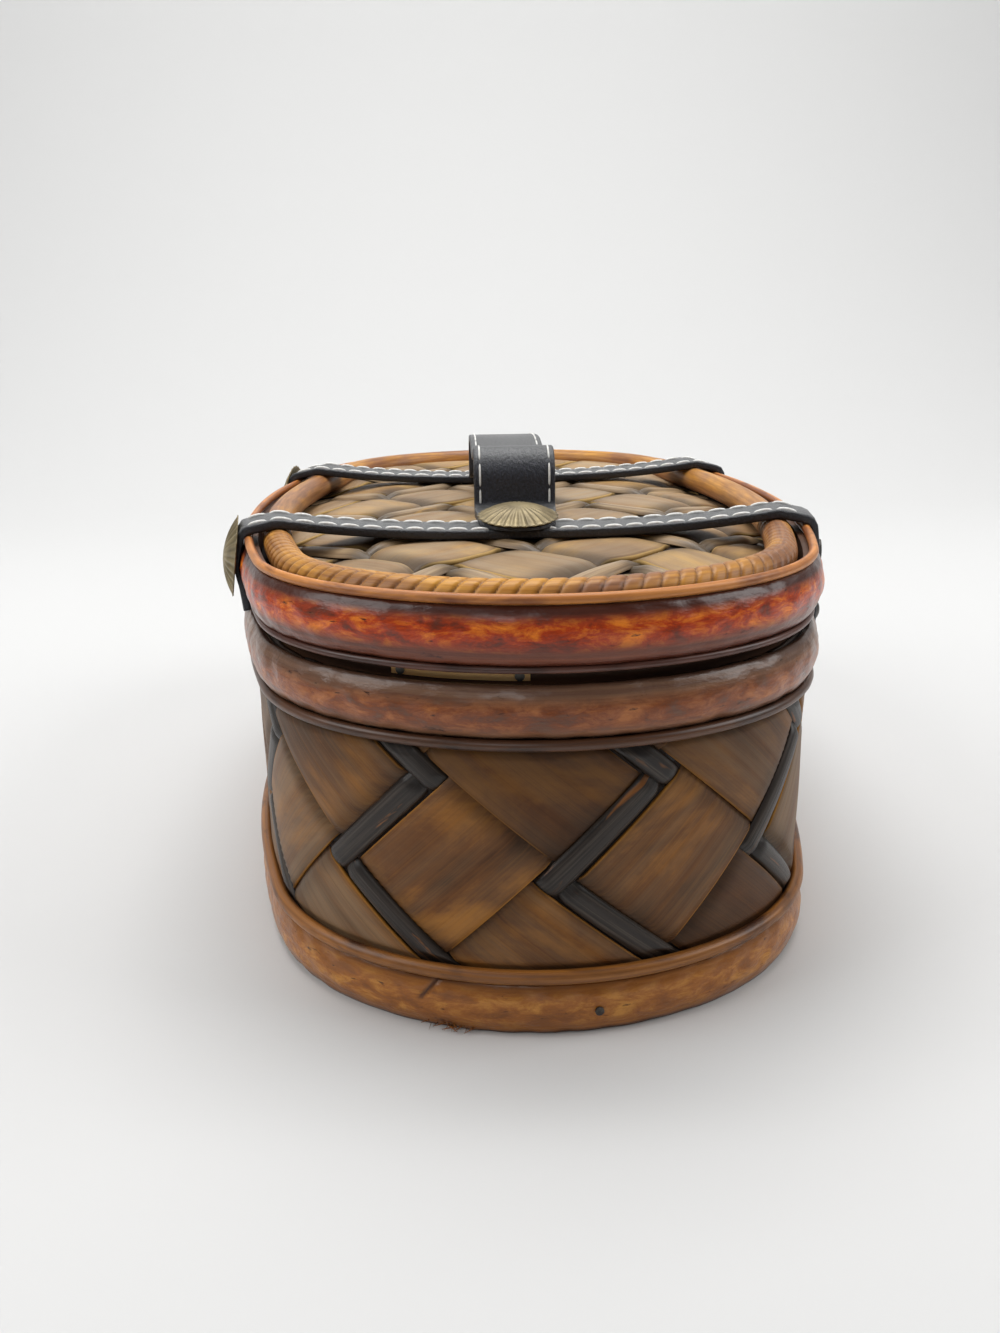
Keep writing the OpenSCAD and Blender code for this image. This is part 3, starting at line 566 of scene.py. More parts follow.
make_hoop("base_hoop", "basket", BASE_CANE, 1.4, 11, split_at=(-27.1, 5.5), frayed=(-25.0, -14.0))
make_hoop("rim_hoop", "basket", RIM_CANE, 1.0, 21)
make_hoop("lid_hoop", "lid", LID_CANE, 1.0, 31, groove=0.2)
make_bead("base_bead", "basket", BASE_BEAD_CANE, 41, "cane_light")
make_bead("rim_bead", "basket", RIM_BEAD_CANE, 51, "cane_light", slim=0.8)
make_bead("lid_low_bead", "lid", LOW_CANE, 61, "cane_brown")
make_bead("lid_lip", "lid", LIP_CANE, 71, "cane_light")
make_rope()


# The weave: wide leaf strips and narrow vines on both diagonals, over two and under two
STRIP_RISE, VINE_RISE = 0.72, 0.75
LEAF_T, VINE_T = 0.8, 1.9
VINE_SHARE = 0.19
STRIP_SLACK = 0.35
ON_TOP = 0.2
BACK_GRAIN = 60
GRAIN_ALONG, GRAIN_ACROSS = 4000, 900


def strip_order(index, way, pitch, slack):
    """Of a strip: whether it is a narrow vine, its half width, whether its floats start after the vine that they
    cross or before it, and which of them lie over."""
    narrow = index % 2 == 1
    half = pitch * (VINE_SHARE if narrow else 1 - VINE_SHARE) / 2 - slack
    return narrow, half, narrow if way else not narrow, index // 2 + (0 if narrow or way else 1)


def from_start(place, after_vine):
    """Places counted from the start of the floats. place counts the crossed pairs, a vine at each whole number."""
    return place - (VINE_SHARE / 2 if after_vine else -VINE_SHARE / 2)


def float_level(place, after_vine, over_first, ease):
    """+1 where a strip lies over the strips that it crosses and -1 where it lies under."""
    t = from_start(place, after_vine)
    pair = np.floor(t)
    inside = t - pair
    sign = np.where(np.mod(pair + over_first, 2) == 0, 1.0, -1.0)
    return sign * (2 * smooth(np.minimum(inside, 1 - inside) / ease + 0.5) - 1)


def float_shade(place, after_vine, reach):
    """1 at the ends of each float, fading over a reach counted in crossed pairs."""
    inside = np.mod(from_start(place, after_vine), 1)
    return 1 - smooth(np.minimum(inside, 1 - inside) / reach)


def strip_section(narrow, level, v, dome_t=0.32):
    """Height of a strip's upper and lower face over the weave's middle, across its width (v from -1 to 1)."""
    if narrow:
        dome = np.sqrt(np.clip(1 - (v * 0.97) ** 2, 0, 1))
        middle = VINE_RISE * level
        return middle + VINE_T * (0.75 * dome - 0.25), middle - VINE_T * 0.3 * dome
    middle = STRIP_RISE * level + dome_t * (1 - v * v) * np.clip(level, 0, 1)
    return middle + LEAF_T / 2, middle - LEAF_T / 2


def add_strip(shape, upper, lower, u, across_v, v, level, deep, shade, tint, age):
    """A closed strip from its two faces, each a grid along and across. It gets painted shade by deep where it lies
    under others and from shade, a painted highlight at its edges where it lies on top, is greyed by tint, which on the
    wall is partly a painted sheen, and browned by age."""
    crevice = np.maximum(smooth(0.5 - level * 0.9) * deep, shade)
    # edge marks the cut edges of strips that lie on top, for a painted highlight.
    edge = np.abs(v) * (level > ON_TOP)
    around = np.concatenate([across_v, across_v[::-1] + BACK_GRAIN, across_v[:1]])
    shape.grid(there_and_back(upper, lower), u, around, close_v=True, caps=True, tint=tint, age=age,
               crevice=there_and_back(crevice, crevice), edge=there_and_back(edge, edge))


def add_weave(name, body, looks, leaf, vine, node):
    add(leaf.build(name + "_leaf_strips", looks[0]), body, "leaf_weave", node)
    add(vine.build(name + "_vines", looks[1]), body, "leaf_weave")


# The wall. WALL_WAYS gives each way's slope, and the place and height of a point on its first vine. AGES gives how
# brown the rising and the falling strips are
WALL_PERIODS = 14
WALL_PITCH = GIRTH / WALL_PERIODS
WALL_WAYS = ((1.0, 7.2, 40.0), (-0.86, 14.5, 20.0))
WALL_MIDDLE = -0.7
WALL_EASE, WALL_FADE, WALL_DEEP, END_SHADE = 0.13, 0.2, 0.85, 0.5
PINCH_RUN, PINCHED, PINCH_FREE, PINCH_BEAD = 7, -0.15, 2.6, 1.5
SAG, SAG_PERIOD = 0.12, 90
CORE_T = 0.2
# Distance from the near end over which the wall's leaf turns grey: a painted sheen on the basket's sides.
SHEEN_FROM = 62.0
RIM_SHADE, RIM_SHADE_Z, RIM_SHADE_RUN = 0.42, 45.0, 16
AGES = ((0.1, 0.25), (0.12, 0.75), (0.3, 0.35), (0.2, 0.05), (0.4, 0.3))


def make_wall():
    """The wall's weave, which can't stand far out where the hoops and beads pinch it."""
    wall_low, wall_high = box_mm("wall_weave")
    free_from, free_to = ring_box("base_bead")[2] - PINCH_BEAD, ring_box("rim_bead")[1] + PINCH_BEAD
    z = np.linspace(wall_low[2], wall_high[2] - 0.5, 150)
    free = smooth((z - free_from) / PINCH_RUN) * smooth((free_to - z) / PINCH_RUN)
    limit = (PINCHED + PINCH_FREE * free)[:, None]
    rim_shade = RIM_SHADE * smooth((z - RIM_SHADE_Z) / RIM_SHADE_RUN)[:, None]
    leaf, vine = Builder(), Builder()
    draw = np.random.default_rng(5)
    for way, index in product((0, 1), range(2 * WALL_PERIODS)):
        narrow, half, after_vine, over_first = strip_order(index, way, WALL_PITCH, STRIP_SLACK)
        (slope, at, at_z), (cross_slope, cross_at, cross_z) = WALL_WAYS[way], WALL_WAYS[1 - way]
        v = np.linspace(-1, 1, 11 if narrow else 15)
        centre = at + (index - 1) / 2 * WALL_PITCH
        s = centre + v * half + ((z - at_z) / slope)[:, None]
        place = (s - ((z - cross_z) / cross_slope)[:, None] - cross_at) / WALL_PITCH
        level = float_level(place, after_vine, over_first, WALL_EASE)
        top, bottom = strip_section(narrow, level, v)
        sag = ripple(z, SAG_PERIOD, 1000 + index + 100 * (1 - way), terms=4)[:, None] * SAG
        high = np.minimum(WALL_MIDDLE + top + sag, limit)
        low = np.minimum(WALL_MIDDLE + bottom + sag, limit - 0.4)
        upper, lower = (np.stack([*on_oval(s, o), np.broadcast_to(z[:, None], s.shape)], -1) for o in (high, low))
        along = z * 1.4 + draw.uniform(0, GRAIN_ALONG)
        across_v = v * half * 0.7 + draw.uniform(0, GRAIN_ACROSS)
        shade = np.maximum(float_shade(place, after_vine, WALL_FADE) * END_SHADE, rim_shade)
        # The strips grey towards the sides, away from the near end: a painted sheen, with a random share.
        from_near = abs((s.mean() + GIRTH / 2) % GIRTH - GIRTH / 2)
        tint = min(1, from_near / SHEEN_FROM) * draw.uniform(0.5, 0.9) + draw.uniform(0, 0.15)
        age = AGES[index // 2 % len(AGES)][way]
        add_strip(vine if narrow else leaf, upper, lower, along, across_v, v, level, WALL_DEEP, shade, tint, age)
    add_weave("wall", "basket", (LEAF, VINE), leaf, vine, "wall_weave")
    # A dark sheet inside the wall's weave, seen through its gaps: painted shade.
    inner, outer = WALL_MIDDLE - CORE_T / 2, WALL_MIDDLE + CORE_T / 2
    profile = np.array([[outer, z[0]], [outer, z[-1]], [inner, z[-1]], [inner, z[0]]])
    core = Builder().grid(*sweep(360, profile, np.zeros(4), 81, wobble=0), True, True)
    add(core.build("wall_core", SHADE_CORE), "basket", "leaf_weave")


make_wall()


# A flat woven sheet inside the oval
SHEET_EASE, SHEET_FADE, SHEET_DEEP = 0.32, 0.36, 0.9
SHEET_LENS, SHEET_DOME, SHEET_SLACK = 0.22, 0.36, STRIP_SLACK * 0.7
SHEET_HALF, SCAN_HALF, SCAN_STEPS = 150, 190, 1521
SHORTEST, NARROWEST = 6, 8
EDGE_SWING, EDGE_RUN = 0.25, 10


def clip_lines(side, run, q, offset):
    """Of lines along run, each q to the side: whether they meet the oval, and where they enter and leave it."""
    t = np.linspace(-SCAN_HALF, SCAN_HALF, SCAN_STEPS)
    inside = oval_offset(*(side[k] * q[:, None] + t * run[k] for k in (0, 1))) < offset
    first = t[np.argmax(inside, axis=1)]
    last = t[len(t) - 1 - np.argmax(inside[:, ::-1], axis=1)]
    return inside.any(axis=1), first, last


def make_shade_core(name, body, offset, surface):
    """A dark sheet in the middle of a weave, seen only through its gaps: painted shade behind the weave."""
    s = np.linspace(0, GIRTH, 240, endpoint=False)
    share = np.linspace(0, 1, 24)
    x, y = (c[:, None] * share for c in on_oval(s, offset))
    z = surface(x, y)
    top, bottom = (np.stack([x, y, z + lift], -1) for lift in (CORE_T / 2, -CORE_T / 2))
    both = there_and_back(top, bottom)
    core = Builder().grid(both, np.append(s, GIRTH), np.linspace(0, 1, both.shape[1]), close_u=True)
    add(core.build(name, SHADE_CORE), body, "leaf_weave")


def make_sheet(name, body, looks, offset, surface, relief, lean, pitch, sense, shift, node, steps=150):
    """A woven sheet whose middle lies on surface(x, y). Its strips lean both ways and narrow where they dive."""
    leaf, vine = Builder(), Builder()
    draw = np.random.default_rng(len(name) * 7)
    runs = [np.array([math.cos(a), math.sin(a)]) for a in (math.radians(lean), -math.radians(lean))]
    sides = [np.array([-r[1], r[0]]) for r in runs]
    reach = int(SHEET_HALF / pitch) + 1
    scan = np.linspace(-1, 1, 81)
    for way, index in product((0, 1), range(-2 * reach, 2 * reach + 1)):
        narrow, half, after_vine, over_first = strip_order(index, way, pitch, SHEET_SLACK)
        run, side, cross, cross_at = runs[way], sides[way], sides[1 - way], shift[1 - way]
        middle = shift[way] + sense * (index - 1) / 2 * pitch
        met, first, last = clip_lines(side, run, middle + scan * half, offset)
        inside = scan[met & (last - first > SHORTEST)]
        if len(inside) < NARROWEST:
            continue
        v = np.linspace(inside[0], inside[-1], 9 if narrow else 13)
        _, first, last = clip_lines(side, run, middle + v * half, offset)
        t = first + np.linspace(0, 1, steps)[:, None] * (last - first)
        along = run @ cross * t + side @ cross * middle
        ends = float_shade(sense * (along - cross_at) / pitch, after_vine, SHEET_FADE)
        q = middle + v * half * (1 - SHEET_LENS * ends)
        x, y = (side[k] * q + t * run[k] for k in (0, 1))
        place = sense * (x * cross[0] + y * cross[1] - cross_at) / pitch
        level = float_level(place, after_vine, over_first, SHEET_EASE)
        pinch = smooth((offset - oval_offset(x, y)) / EDGE_RUN)
        swing = relief * (EDGE_SWING + (1 - EDGE_SWING) * pinch)
        upper, lower = (np.stack([x, y, surface(x, y) + face * swing], -1)
                        for face in strip_section(narrow, level, v, SHEET_DOME))
        length = t.mean(axis=1) + draw.uniform(0, GRAIN_ALONG)
        across_v = v * half + draw.uniform(0, GRAIN_ACROSS)
        shade = ends ** 1.5 * 0.75
        tint, age = draw.uniform(0.2, 1.0), draw.uniform(0, 0.35)
        add_strip(vine if narrow else leaf, upper, lower, length, across_v, v, level, SHEET_DEEP, shade, tint, age)
    add_weave(name, body, looks, leaf, vine, node)
    make_shade_core(name + "_core", body, box_mm(node)[1][0] - HALF_W - 0.3, surface)


LID_SWING, LID_PITCH, LID_LEAN, LID_SHIFT = 1.35, 28.5, 48.0, (16.0, -13.8)
LID_SLOPE = 26
FLOOR_SWING, FLOOR_PITCH, FLOOR_LEAN, FLOOR_SHIFT = 0.62, 31.0, 45, (3.0, 8.0)


def make_lid_weave():
    rope_outer, rope_low, rope_high = ring_box("lid_rope")
    rope_offset = rope_outer - (rope_high - rope_low) / 2
    crown_z = box_mm("lid_panel")[1][2] - LID_SWING * 1.5

    def surface(x, y):
        depth = smooth(-(oval_offset(x, y) - rope_offset) / LID_SLOPE)
        return crown_z * depth + panel_edge(y, rope_low) * (1 - depth)

    make_sheet("lid_panel", "lid", (LID_LEAF, LID_VINE), rope_offset + 1.0, surface, LID_SWING, LID_LEAN, LID_PITCH, -1,
               LID_SHIFT, "lid_panel")


def make_floor_weave():
    low, high = box_mm("floor_weave")
    middle = (low[2] + high[2]) / 2
    make_sheet("floor", "basket", (LEAF, VINE), high[0] - HALF_W, lambda x, y: middle + 0 * x, FLOOR_SWING,
               FLOOR_LEAN, FLOOR_PITCH, 1, FLOOR_SHIFT, "floor_weave", steps=90)


make_lid_weave()
make_floor_weave()


# Leather straps, as a section swept along a path of underside points
def belt_angle(one, two):
    """Angle at which a belt leaves one circle for the next."""
    dx, dz = two[0] - one[0], two[1] - one[1]
    return math.atan2(dz, dx) + math.acos((one[2] - two[2]) / math.hypot(dx, dz))


def round_points(circle, start, end):
    steps = max(2, int(abs(end - start) / math.radians(4)))
    turn = np.linspace(start, end, steps + 1)
    return np.stack([circle[0] + circle[2] * np.cos(turn), circle[1] + circle[2] * np.sin(turn)], 1)


def resample(path, step):
    """Even points on a path, their distances along it, and its normals there."""
    length = lengths(path)
    keep = np.concatenate([[True], np.diff(length) > 1e-6])
    at = np.linspace(0, length[-1], int(length[-1] / step) + 1)
    path = np.stack([np.interp(at, length[keep], path[keep, k]) for k in (0, 1)], 1)
    along = np.gradient(path, axis=0)
    along /= np.linalg.norm(along, axis=1)[:, None]
    return path, at, np.stack([-along[:, 1], along[:, 0]], 1)


STRAP_CORNER, STRAP_RIM, RIM_DARK = 0.55, 0.2, 0.5


def strap_loop(width, thick, steps=4):
    """The rounded section of a strap: across its width, and up from its underside."""
    points = []
    right, top = width / 2 - STRAP_CORNER, thick - STRAP_CORNER
    for cx, cz, start in ((right, STRAP_CORNER, -90), (right, top, 0), (-right, top, 90), (-right, STRAP_CORNER, 180)):
        for k in range(steps):
            a = math.radians(start + 90 * k / (steps - 1))
            points.append((cx + STRAP_CORNER * math.cos(a), cz + STRAP_CORNER * math.sin(a)))
    return np.array(points)


def strap_shape(path, at, normals, width, thick, place, narrowing=1.0):
    """A strap's mesh, with a thickness and a narrowing for each place along it.
    place turns the path's two axes and the width into x, y and z."""
    most = float(np.max(thick))
    loop = strap_loop(width, most)
    up = loop[:, 1] * (thick / most)[:, None]
    a, b = (path[:, None, k] + normals[:, None, k] * up for k in (0, 1))
    w = loop[:, 0] * np.broadcast_to(narrowing, at.shape)[:, None]
    rim = np.abs(loop[:, 0]) > width / 2 - STRAP_RIM
    # The upward-lying top faces are marked for the leather's painted grey sheen.
    upper = smooth((normals[:, 1] - 0.3) / 0.6)[:, None] * (loop[:, 1] > most - STRAP_RIM)
    return Builder().grid(place(a, b, w), at, lengths(loop, True), close_v=True, caps=True, crevice=rim * RIM_DARK,
                          upper=upper)


STITCH_PITCH, STITCH_SHARE, SEAM_INSET, SEAM_ENDS = 5.2, 0.9, 1.5, 4
THREAD_ARCH, THREAD_SINK = 0.7, 0.35


def stitch_shape(path, at, normals, width, thick, place, thread_r, bare):
    """Two rows of stitches on a strap's top face, each a short arched piece of thread, but none on the bare parts."""
    shape = Builder()
    count = int((at[-1] - SEAM_ENDS) / STITCH_PITCH)
    margin = (at[-1] - count * STITCH_PITCH) / 2
    turn = even_turns(8)
    for row, k in product((-1, 1), range(count)):
        start = margin + k * STITCH_PITCH
        mid = start + STITCH_PITCH / 2
        if any(low < mid < high for low, high in bare):
            continue
        t = np.linspace(0, 1, 9)
        here = start + (0.5 + (t - 0.5) * STITCH_SHARE) * STITCH_PITCH
        taper = np.sqrt(np.clip(1 - (2 * t - 1) ** 6, 0.05, 1))[:, None]
        rise = np.interp(here, at, thick) + thread_r * (THREAD_ARCH * np.sin(math.pi * t) - THREAD_SINK)
        up = rise[:, None] + thread_r * taper * np.sin(turn)
        over = row * (width / 2 - SEAM_INSET) + thread_r * taper * np.cos(turn)
        a, b = (np.interp(here, at, path[:, i])[:, None] + np.interp(here, at, normals[:, i])[:, None] * up
                for i in (0, 1))
        shape.grid(place(a, b, over), here, np.linspace(0, 1, 9), close_v=True, caps=True)
    return shape


STRAP_T, STRAP_END_T, STRAP_RUN, STRAP_STEP = 2.2, 1.2, 22.0, 1.0
STRAP_THREAD_R, REAR_BARE, FRONT_BARE = 0.42, 34, 20
HOOP_SWELL = 2.0
TAIL_TURN, TAIL_DROP, TAIL_TUCK = 0.5, 5.5, 0.2


def side_circle(outer, low, high, radius):
    """A ring's round face in a section square to the basket's side, with the strap's fit."""
    return SIDE_R + outer - radius, (low + high) / 2, radius + HOOP_FIT


def make_strap(side):
    """A strap from its front tail over the lid to the hinge and the tab below it, in a section square to the curved
    side."""
    node, tab = "strap_" + side, "hinge_tab_" + side
    low, high = box_mm(node)
    tab_low, tab_high = box_mm(tab)
    y_mid, width = (low[1] + high[1]) / 2, high[1] - low[1]
    rope, lip = (side_circle(o, lo, hi, (hi - lo) / 2) for o, lo, hi in map(ring_box, ("lid_rope", "lid_lip")))
    hoop_o, hoop_l, hoop_h = ring_box("lid_hoop")
    hoop = side_circle(hoop_o, hoop_l, hoop_h, face_radius(hoop_h - hoop_l, HOOP_SWELL))
    under = box_mm("lid_panel")[1][2] + HOOP_FIT
    dip = math.atan2(rope[1] + rope[2] - under, STRAP_RUN)
    leave = (rope[0] - rope[2] * math.sin(dip), rope[1] + rope[2] * math.cos(dip))
    lip_a, hoop_a = belt_angle(rope, lip), belt_angle(lip, hoop)
    turn = math.asin(abs(y_mid) / (SIDE_R + hoop_o))

    def to_x(section):
        return SIDE_C + (section - abs(y_mid) * math.sin(turn)) / math.cos(turn)

    middle = -SIDE_C * math.cos(turn) + abs(y_mid) * math.sin(turn)
    share = np.linspace(0, 1, 40)
    sag = np.stack([middle + share * (leave[0] - middle),
                    under + (leave[1] - under) * share ** ((leave[0] - middle) / STRAP_RUN)], 1)
    half = np.vstack([sag, round_points(rope, math.pi / 2 + dip, lip_a)[1:], round_points(lip, lip_a, hoop_a)])
    rear = np.vstack([half, round_points(hoop, hoop_a, 0), [[hoop[0] + hoop[2], tab_low[2]]]])
    front = np.vstack([half, round_points(hoop, hoop_a, -TAIL_TURN)])
    front = np.vstack([front, front[-1] - [TAIL_TUCK * TAIL_DROP, TAIL_DROP]])
    rear[:, 0], front[:, 0] = to_x(rear[:, 0]), to_x(front[:, 0])
    path, at, normals = resample(np.vstack([front[::-1] * [-1, 1], rear[1:]]), STRAP_STEP)
    lip_x, hoop_x = (to_x(c[0] + c[2] * math.cos(a)) for c, a in ((lip, lip_a), (hoop, hoop_a)))
    thick = np.interp(np.abs(path[:, 0]), [lip_x, hoop_x], [STRAP_T, STRAP_END_T])
    flat_x = to_x(leave[0]) - STRAP_RUN

    def place(a, b, w):
        shift = (np.abs(y_mid + w) - abs(y_mid)) * math.tan(turn) * smooth((np.abs(a) - flat_x / 2) / (flat_x / 2))
        return np.stack([a - np.sign(a) * shift, y_mid + w, b], -1)

    strap = strap_shape(path, at, normals, width, thick, place).build(node + "_leather", LEATHER)
    bare = ((at[-1] - REAR_BARE, at[-1]), (0, FRONT_BARE))
    thread = stitch_shape(path, at, normals, width, thick, place, STRAP_THREAD_R, bare).build(node + "_thread", THREAD)
    for obj, slot, nodes in ((strap, "strap_leather", (node, tab)), (thread, "seam_thread", (node + "_stitching",))):
        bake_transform(obj)
        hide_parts(*nodes)


make_strap("near")
make_strap("far")


HANDLE_T, HANDLE_TOP_R, HANDLE_FOOT_R, HANDLE_STEP = 2.6, 6.0, 1.5, 0.6
HANDLE_THREAD_R, HANDLE_SOFT = 0.24, 6.2
GRIP_RUN = ((-47.0, 0.4), (-40.0, 0.3), (-8.0, 5.0), (12.0, 2.7), (47.0, 4.6))
FOOT_R, FOOT_END_T, FOOT_BARE = 9.0, 0.6, 2


def make_handle():
    """The handle: a soft strap that folds over its near leg, dips and humps again past the middle, with round feet
    that thin out under its studs. GRIP_RUN gives places along it and how far it hangs there."""
    grip_low, grip_high = box_mm("handle_grip")
    _, leg_back, foot_z = box_mm("handle_leg_far")[0]
    stud_low, stud_high = box_mm("handle_conchos")
    x_mid, width = (grip_low[0] + grip_high[0]) / 2, grip_high[0] - grip_low[0]
    foot_y = stud_high[1] - (stud_high[0] - stud_low[0]) / 2
    foot_end = foot_y + FOOT_R
    grip_z = grip_high[2] - HANDLE_T
    top = (leg_back - HANDLE_TOP_R, grip_z - HANDLE_TOP_R, HANDLE_TOP_R)
    bend_y = leg_back + HANDLE_T + HANDLE_FOOT_R
    foot = (bend_y, foot_z + HANDLE_T + HANDLE_FOOT_R, HANDLE_FOOT_R + HANDLE_T)
    half = np.vstack([[[0, grip_z], [top[0], grip_z]], round_points(top, math.pi / 2, 0),
                      round_points(foot, math.pi, 1.5 * math.pi), [[foot_end, foot_z]]])
    path, at, normals = resample(np.vstack([half[::-1] * [-1, 1], half[1:]]), HANDLE_STEP)
    reach = np.clip((np.abs(path[:, 0]) - foot_y) / FOOT_R, 0, 1)
    slim = np.interp(np.abs(path[:, 0]), [bend_y, foot_y], [1, 2 * FOOT_R / width])
    narrowing = slim * np.sqrt(np.clip(1 - reach ** 2, 0.002, 1))
    thick = np.interp(np.abs(path[:, 0]), [bend_y, foot_end], [HANDLE_T, FOOT_END_T])

    def place(a, b, w):
        share = np.clip((b - foot_z) / (grip_high[2] - foot_z), 0, 1)
        return np.stack([x_mid - w, a, b - eased(a, GRIP_RUN) * share], -1)

    feet = foot_end - leg_back + FOOT_BARE
    handle = strap_shape(path, at, normals, width, thick, place, narrowing).build("handle_leather", LEATHER)
    bare = ((0, feet), (at[-1] - feet, at[-1]))
    thread = stitch_shape(path, at, normals, width, thick, place, HANDLE_THREAD_R, bare)
    thread = thread.build("handle_thread", THREAD)
    for obj, slot, nodes in ((handle, "strap_leather", ("handle_leg_near", "handle_leg_far", "handle_grip")),
                             (thread, "seam_thread", ("handle_stitching",))):
        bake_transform(obj)
        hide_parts(*nodes)


make_handle()


# Fluted domed studs
FLUTES, FLUTE_CUT, SCALLOP = 26, 0.24, 0.3
BOSS, BOSS_RISE, STUD_RIM = 0.16, 0.25, 0.25


def make_conchos(node, body, places, radius, height):
    """Studs that stand on points, each along its own axis."""
    turn = even_turns(FLUTES * 8)
    share = np.linspace(0, 1, 18)
    ball = (radius ** 2 + height ** 2) / (2 * height)
    wave = np.cos(FLUTES * turn)[:, None]
    flute = 0.5 - 0.5 * wave
    grow = smooth((share - BOSS) / 0.6)
    r = radius * share * (1 - SCALLOP / radius * grow ** 3 * flute)
    rise = np.sqrt(ball ** 2 - (radius * share) ** 2) - (ball - height)
    rise = rise - FLUTE_CUT * grow * flute + BOSS_RISE * smooth((BOSS - share) / 0.06)
    rise = np.clip(rise, STUD_RIM, height)
    both_r = there_and_back(r, r * 0.98)[..., None]
    both_rise = there_and_back(rise, np.zeros_like(rise))[..., None]
    crevice = grow * smooth(0.5 - 0.75 * wave) * 0.7
    shape = Builder()
    for origin, axis in places:
        axis = np.asarray(axis)
        one = np.array([-axis[1], axis[0], 0]) if abs(axis[2]) < 0.5 else np.array([1.0, 0, 0])
        one = one / np.linalg.norm(one)
        two = np.cross(axis, one)
        around = np.cos(turn)[:, None, None] * one + np.sin(turn)[:, None, None] * two
        points = np.asarray(origin) + both_r * around + both_rise * axis
        shape.grid(points, np.linspace(0, 1, len(turn) + 1), np.linspace(0, 1, 2 * len(share)), close_u=True,
                   crevice=there_and_back(crevice, crevice))
    add(shape.build(node + "_brass", BRASS), body, "antique_brass", node)


STUD_SINK, STUD_LEAN = 0.55, 8.0
FOOT_SINK, FOOT_LEAN = 0.6, 7.0


def make_studs():
    low, high = box_mm("handle_conchos")
    radius, height = (high[0] - low[0]) / 2, high[2] - low[2]
    stud_y = high[1] - radius
    tip = math.radians(FOOT_LEAN)
    top = [(((low[0] + high[0]) / 2, end * stud_y, low[2] - FOOT_SINK), (0, end * math.sin(tip), math.cos(tip)))
           for end in (-1, 1)]
    make_conchos("handle_conchos", "lid", top, radius, height)
    hoop_o = ring_box("lid_hoop")[0]
    reach = SIDE_R + hoop_o + STRAP_END_T + 1.5 * HOOP_FIT - STUD_SINK
    turn, lean = math.asin(stud_y / (SIDE_R + hoop_o)), math.radians(STUD_LEAN)
    low, high = box_mm("front_conchos")
    places = []
    for end in (-1, 1):
        out = np.array([-math.cos(turn), end * math.sin(turn), 0])
        origin = np.array([-SIDE_C, 0, (low[2] + high[2]) / 2]) + reach * out
        places.append((origin, out * math.cos(lean) + np.array([0, 0, math.sin(lean)])))
    make_conchos("front_conchos", "lid", places, radius, height)


make_studs()


# Pieces that keep their CAD mesh
def dress(material, *names):
    for name in names:
        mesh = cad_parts[name].data
        mesh.materials.clear()
        mesh.materials.append(material)


dress(INNER_CANE, "lid_wall", "rim_collar", "lid_inner_hoop", "floor_strip")
dress(STRIP_CANE, "collar_splice")
dress(STEEL, "base_hoop_nails", "rim_hoop_nails", "lid_hoop_nails", "collar_nails", "hinge_rivets", "front_rivets",
      "rear_rivets", "handle_rivets")


# Floor, lights and camera. The stage and the lights are in metres
STAGE_NEAR, STAGE_FAR, SWEEP_R, BACK_TOP, STAGE_HALF = -1.6, 0.5, 0.5, 2.4, 3.0
PAPER = (0.66, 0.66, 0.655, 1)
SKY, SKY_POWER = (1, 1, 1, 1), 0.1
AIM, BACK_AIM = (0, 0, 0.05), (0, 1.0, 0.6)
LIGHTS = (
    ("left", (-0.85, -0.2, 0.75), AIM, (0.65, 0.65), 4.8),
    ("right", (0.9, -0.1, 0.7), AIM, (0.65, 0.65), 5.0),
    ("front", (-0.25, -0.95, 0.75), AIM, (0.25, 0.25), 1.1),
    ("top", (-0.05, 0.2, 1.15), AIM, (0.8, 0.8), 8),
    ("back", (0, 0.35, 1.5), BACK_AIM, (1.6, 0.4), 10),
)


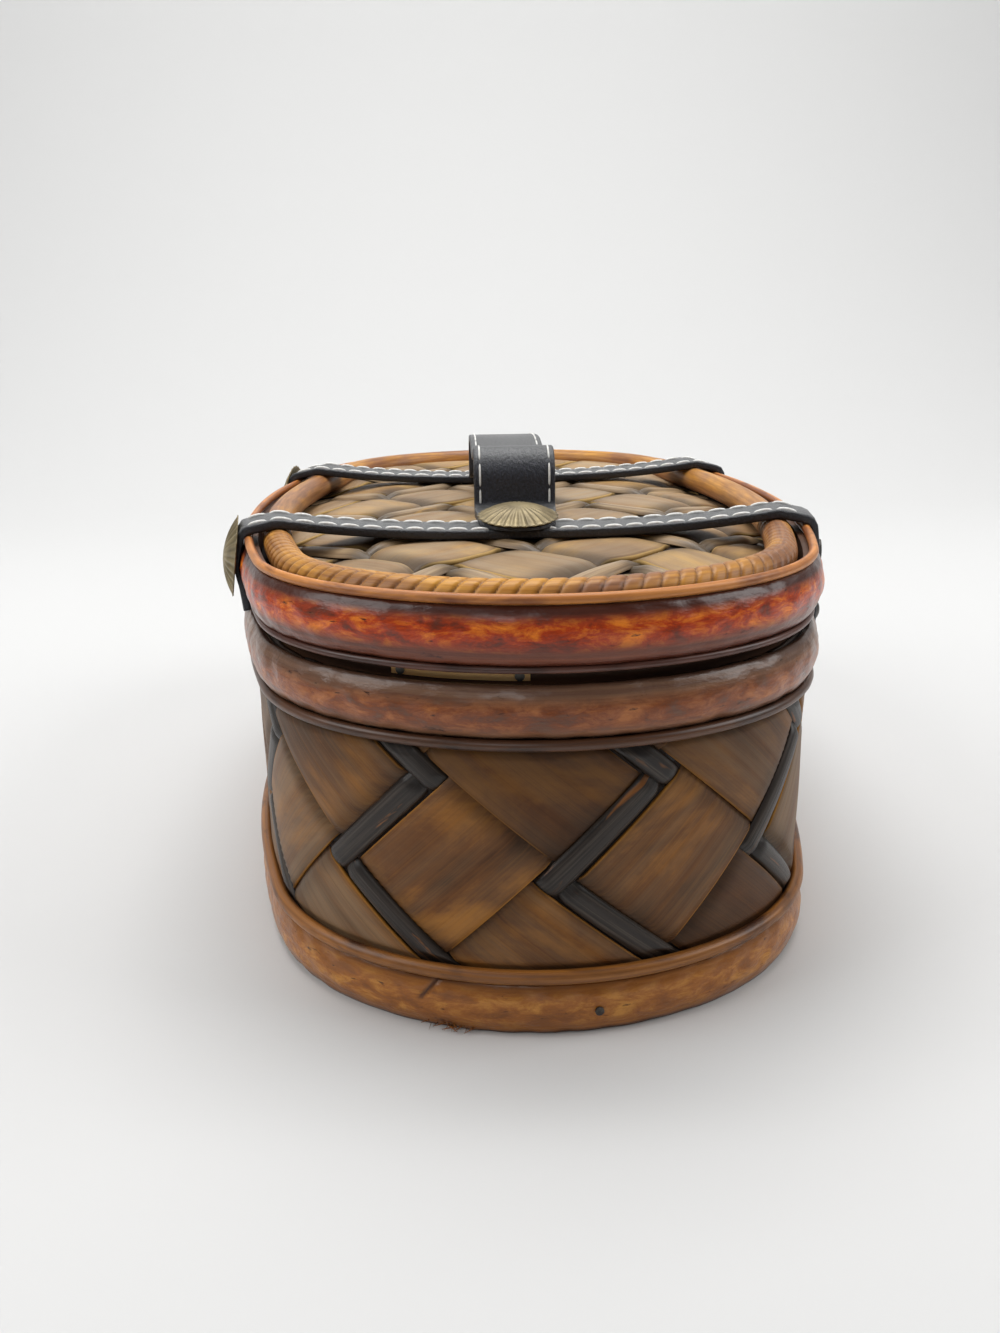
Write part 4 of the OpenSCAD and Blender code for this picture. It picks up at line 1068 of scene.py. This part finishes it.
def make_stage():
    turns = np.linspace(0.1, math.pi / 2, 12)
    bend = [(STAGE_FAR + SWEEP_R * math.sin(a), SWEEP_R - SWEEP_R * math.cos(a)) for a in turns]
    profile = [(STAGE_NEAR, 0), (STAGE_FAR, 0), *bend, (STAGE_FAR + SWEEP_R, BACK_TOP)]
    verts = [(x / MM, y / MM, z / MM) for x in (-STAGE_HALF, STAGE_HALF) for y, z in profile]
    n = len(profile)
    faces = [(k, k + n, k + n + 1, k + 1) for k in range(n - 1)]
    paper = Look("paper", Roughness=0.9)
    paper.shader.inputs["Base Color"].default_value = PAPER
    make_object("floor", verts, faces, paper.material)


def make_lights():
    for name, place, aim, size, power in LIGHTS:
        data = bpy.data.lights.new(name, "AREA")
        data.shape = "RECTANGLE"
        data.size, data.size_y = size
        data.energy = power
        obj = bpy.data.objects.new(name, data)
        bpy.context.scene.collection.objects.link(obj)
        obj.location = place
        obj.rotation_euler = (Vector(place) - Vector(aim)).to_track_quat("Z", "Y").to_euler()
    world = bpy.data.worlds.new("studio")
    world.use_nodes = True
    shade = world.node_tree.nodes["Background"]
    shade.inputs["Color"].default_value = SKY
    shade.inputs["Strength"].default_value = SKY_POWER
    bpy.context.scene.world = world


# The camera that was solved from the photo: pixels, millimetres and degrees
PHOTO_H = 1333
FOCAL_PX = 1101.433
CAMERA_AT = (-17.634, -309.899, 132.843)
YAW, PITCH, ROLL = 2.3007, -16.8731, -0.7832
SENSOR, NEAREST = 36, 0.01


def make_camera():
    yaw, pitch, roll = (math.radians(a) for a in (YAW, PITCH, ROLL))
    ahead = np.array([math.sin(yaw) * math.cos(pitch), math.cos(yaw) * math.cos(pitch), math.sin(pitch)])
    right = np.array([math.cos(yaw), -math.sin(yaw), 0])
    up = np.cross(right, ahead)
    right, up = (math.cos(roll) * right + math.sin(roll) * up, math.cos(roll) * up - math.sin(roll) * right)
    data = bpy.data.cameras.new("camera")
    data.sensor_width = SENSOR
    data.lens = FOCAL_PX * SENSOR / PHOTO_H
    data.clip_start = NEAREST
    obj = bpy.data.objects.new("camera", data)
    turn = Matrix([[right[k], up[k], -ahead[k]] for k in range(3)]).to_4x4()
    obj.matrix_world = Matrix.Translation([c * MM for c in CAMERA_AT]) @ turn
    bpy.context.scene.collection.objects.link(obj)
    bpy.context.scene.camera = obj


make_stage()
make_lights()
make_camera()

bpy.context.scene.view_settings.view_transform = "Standard"
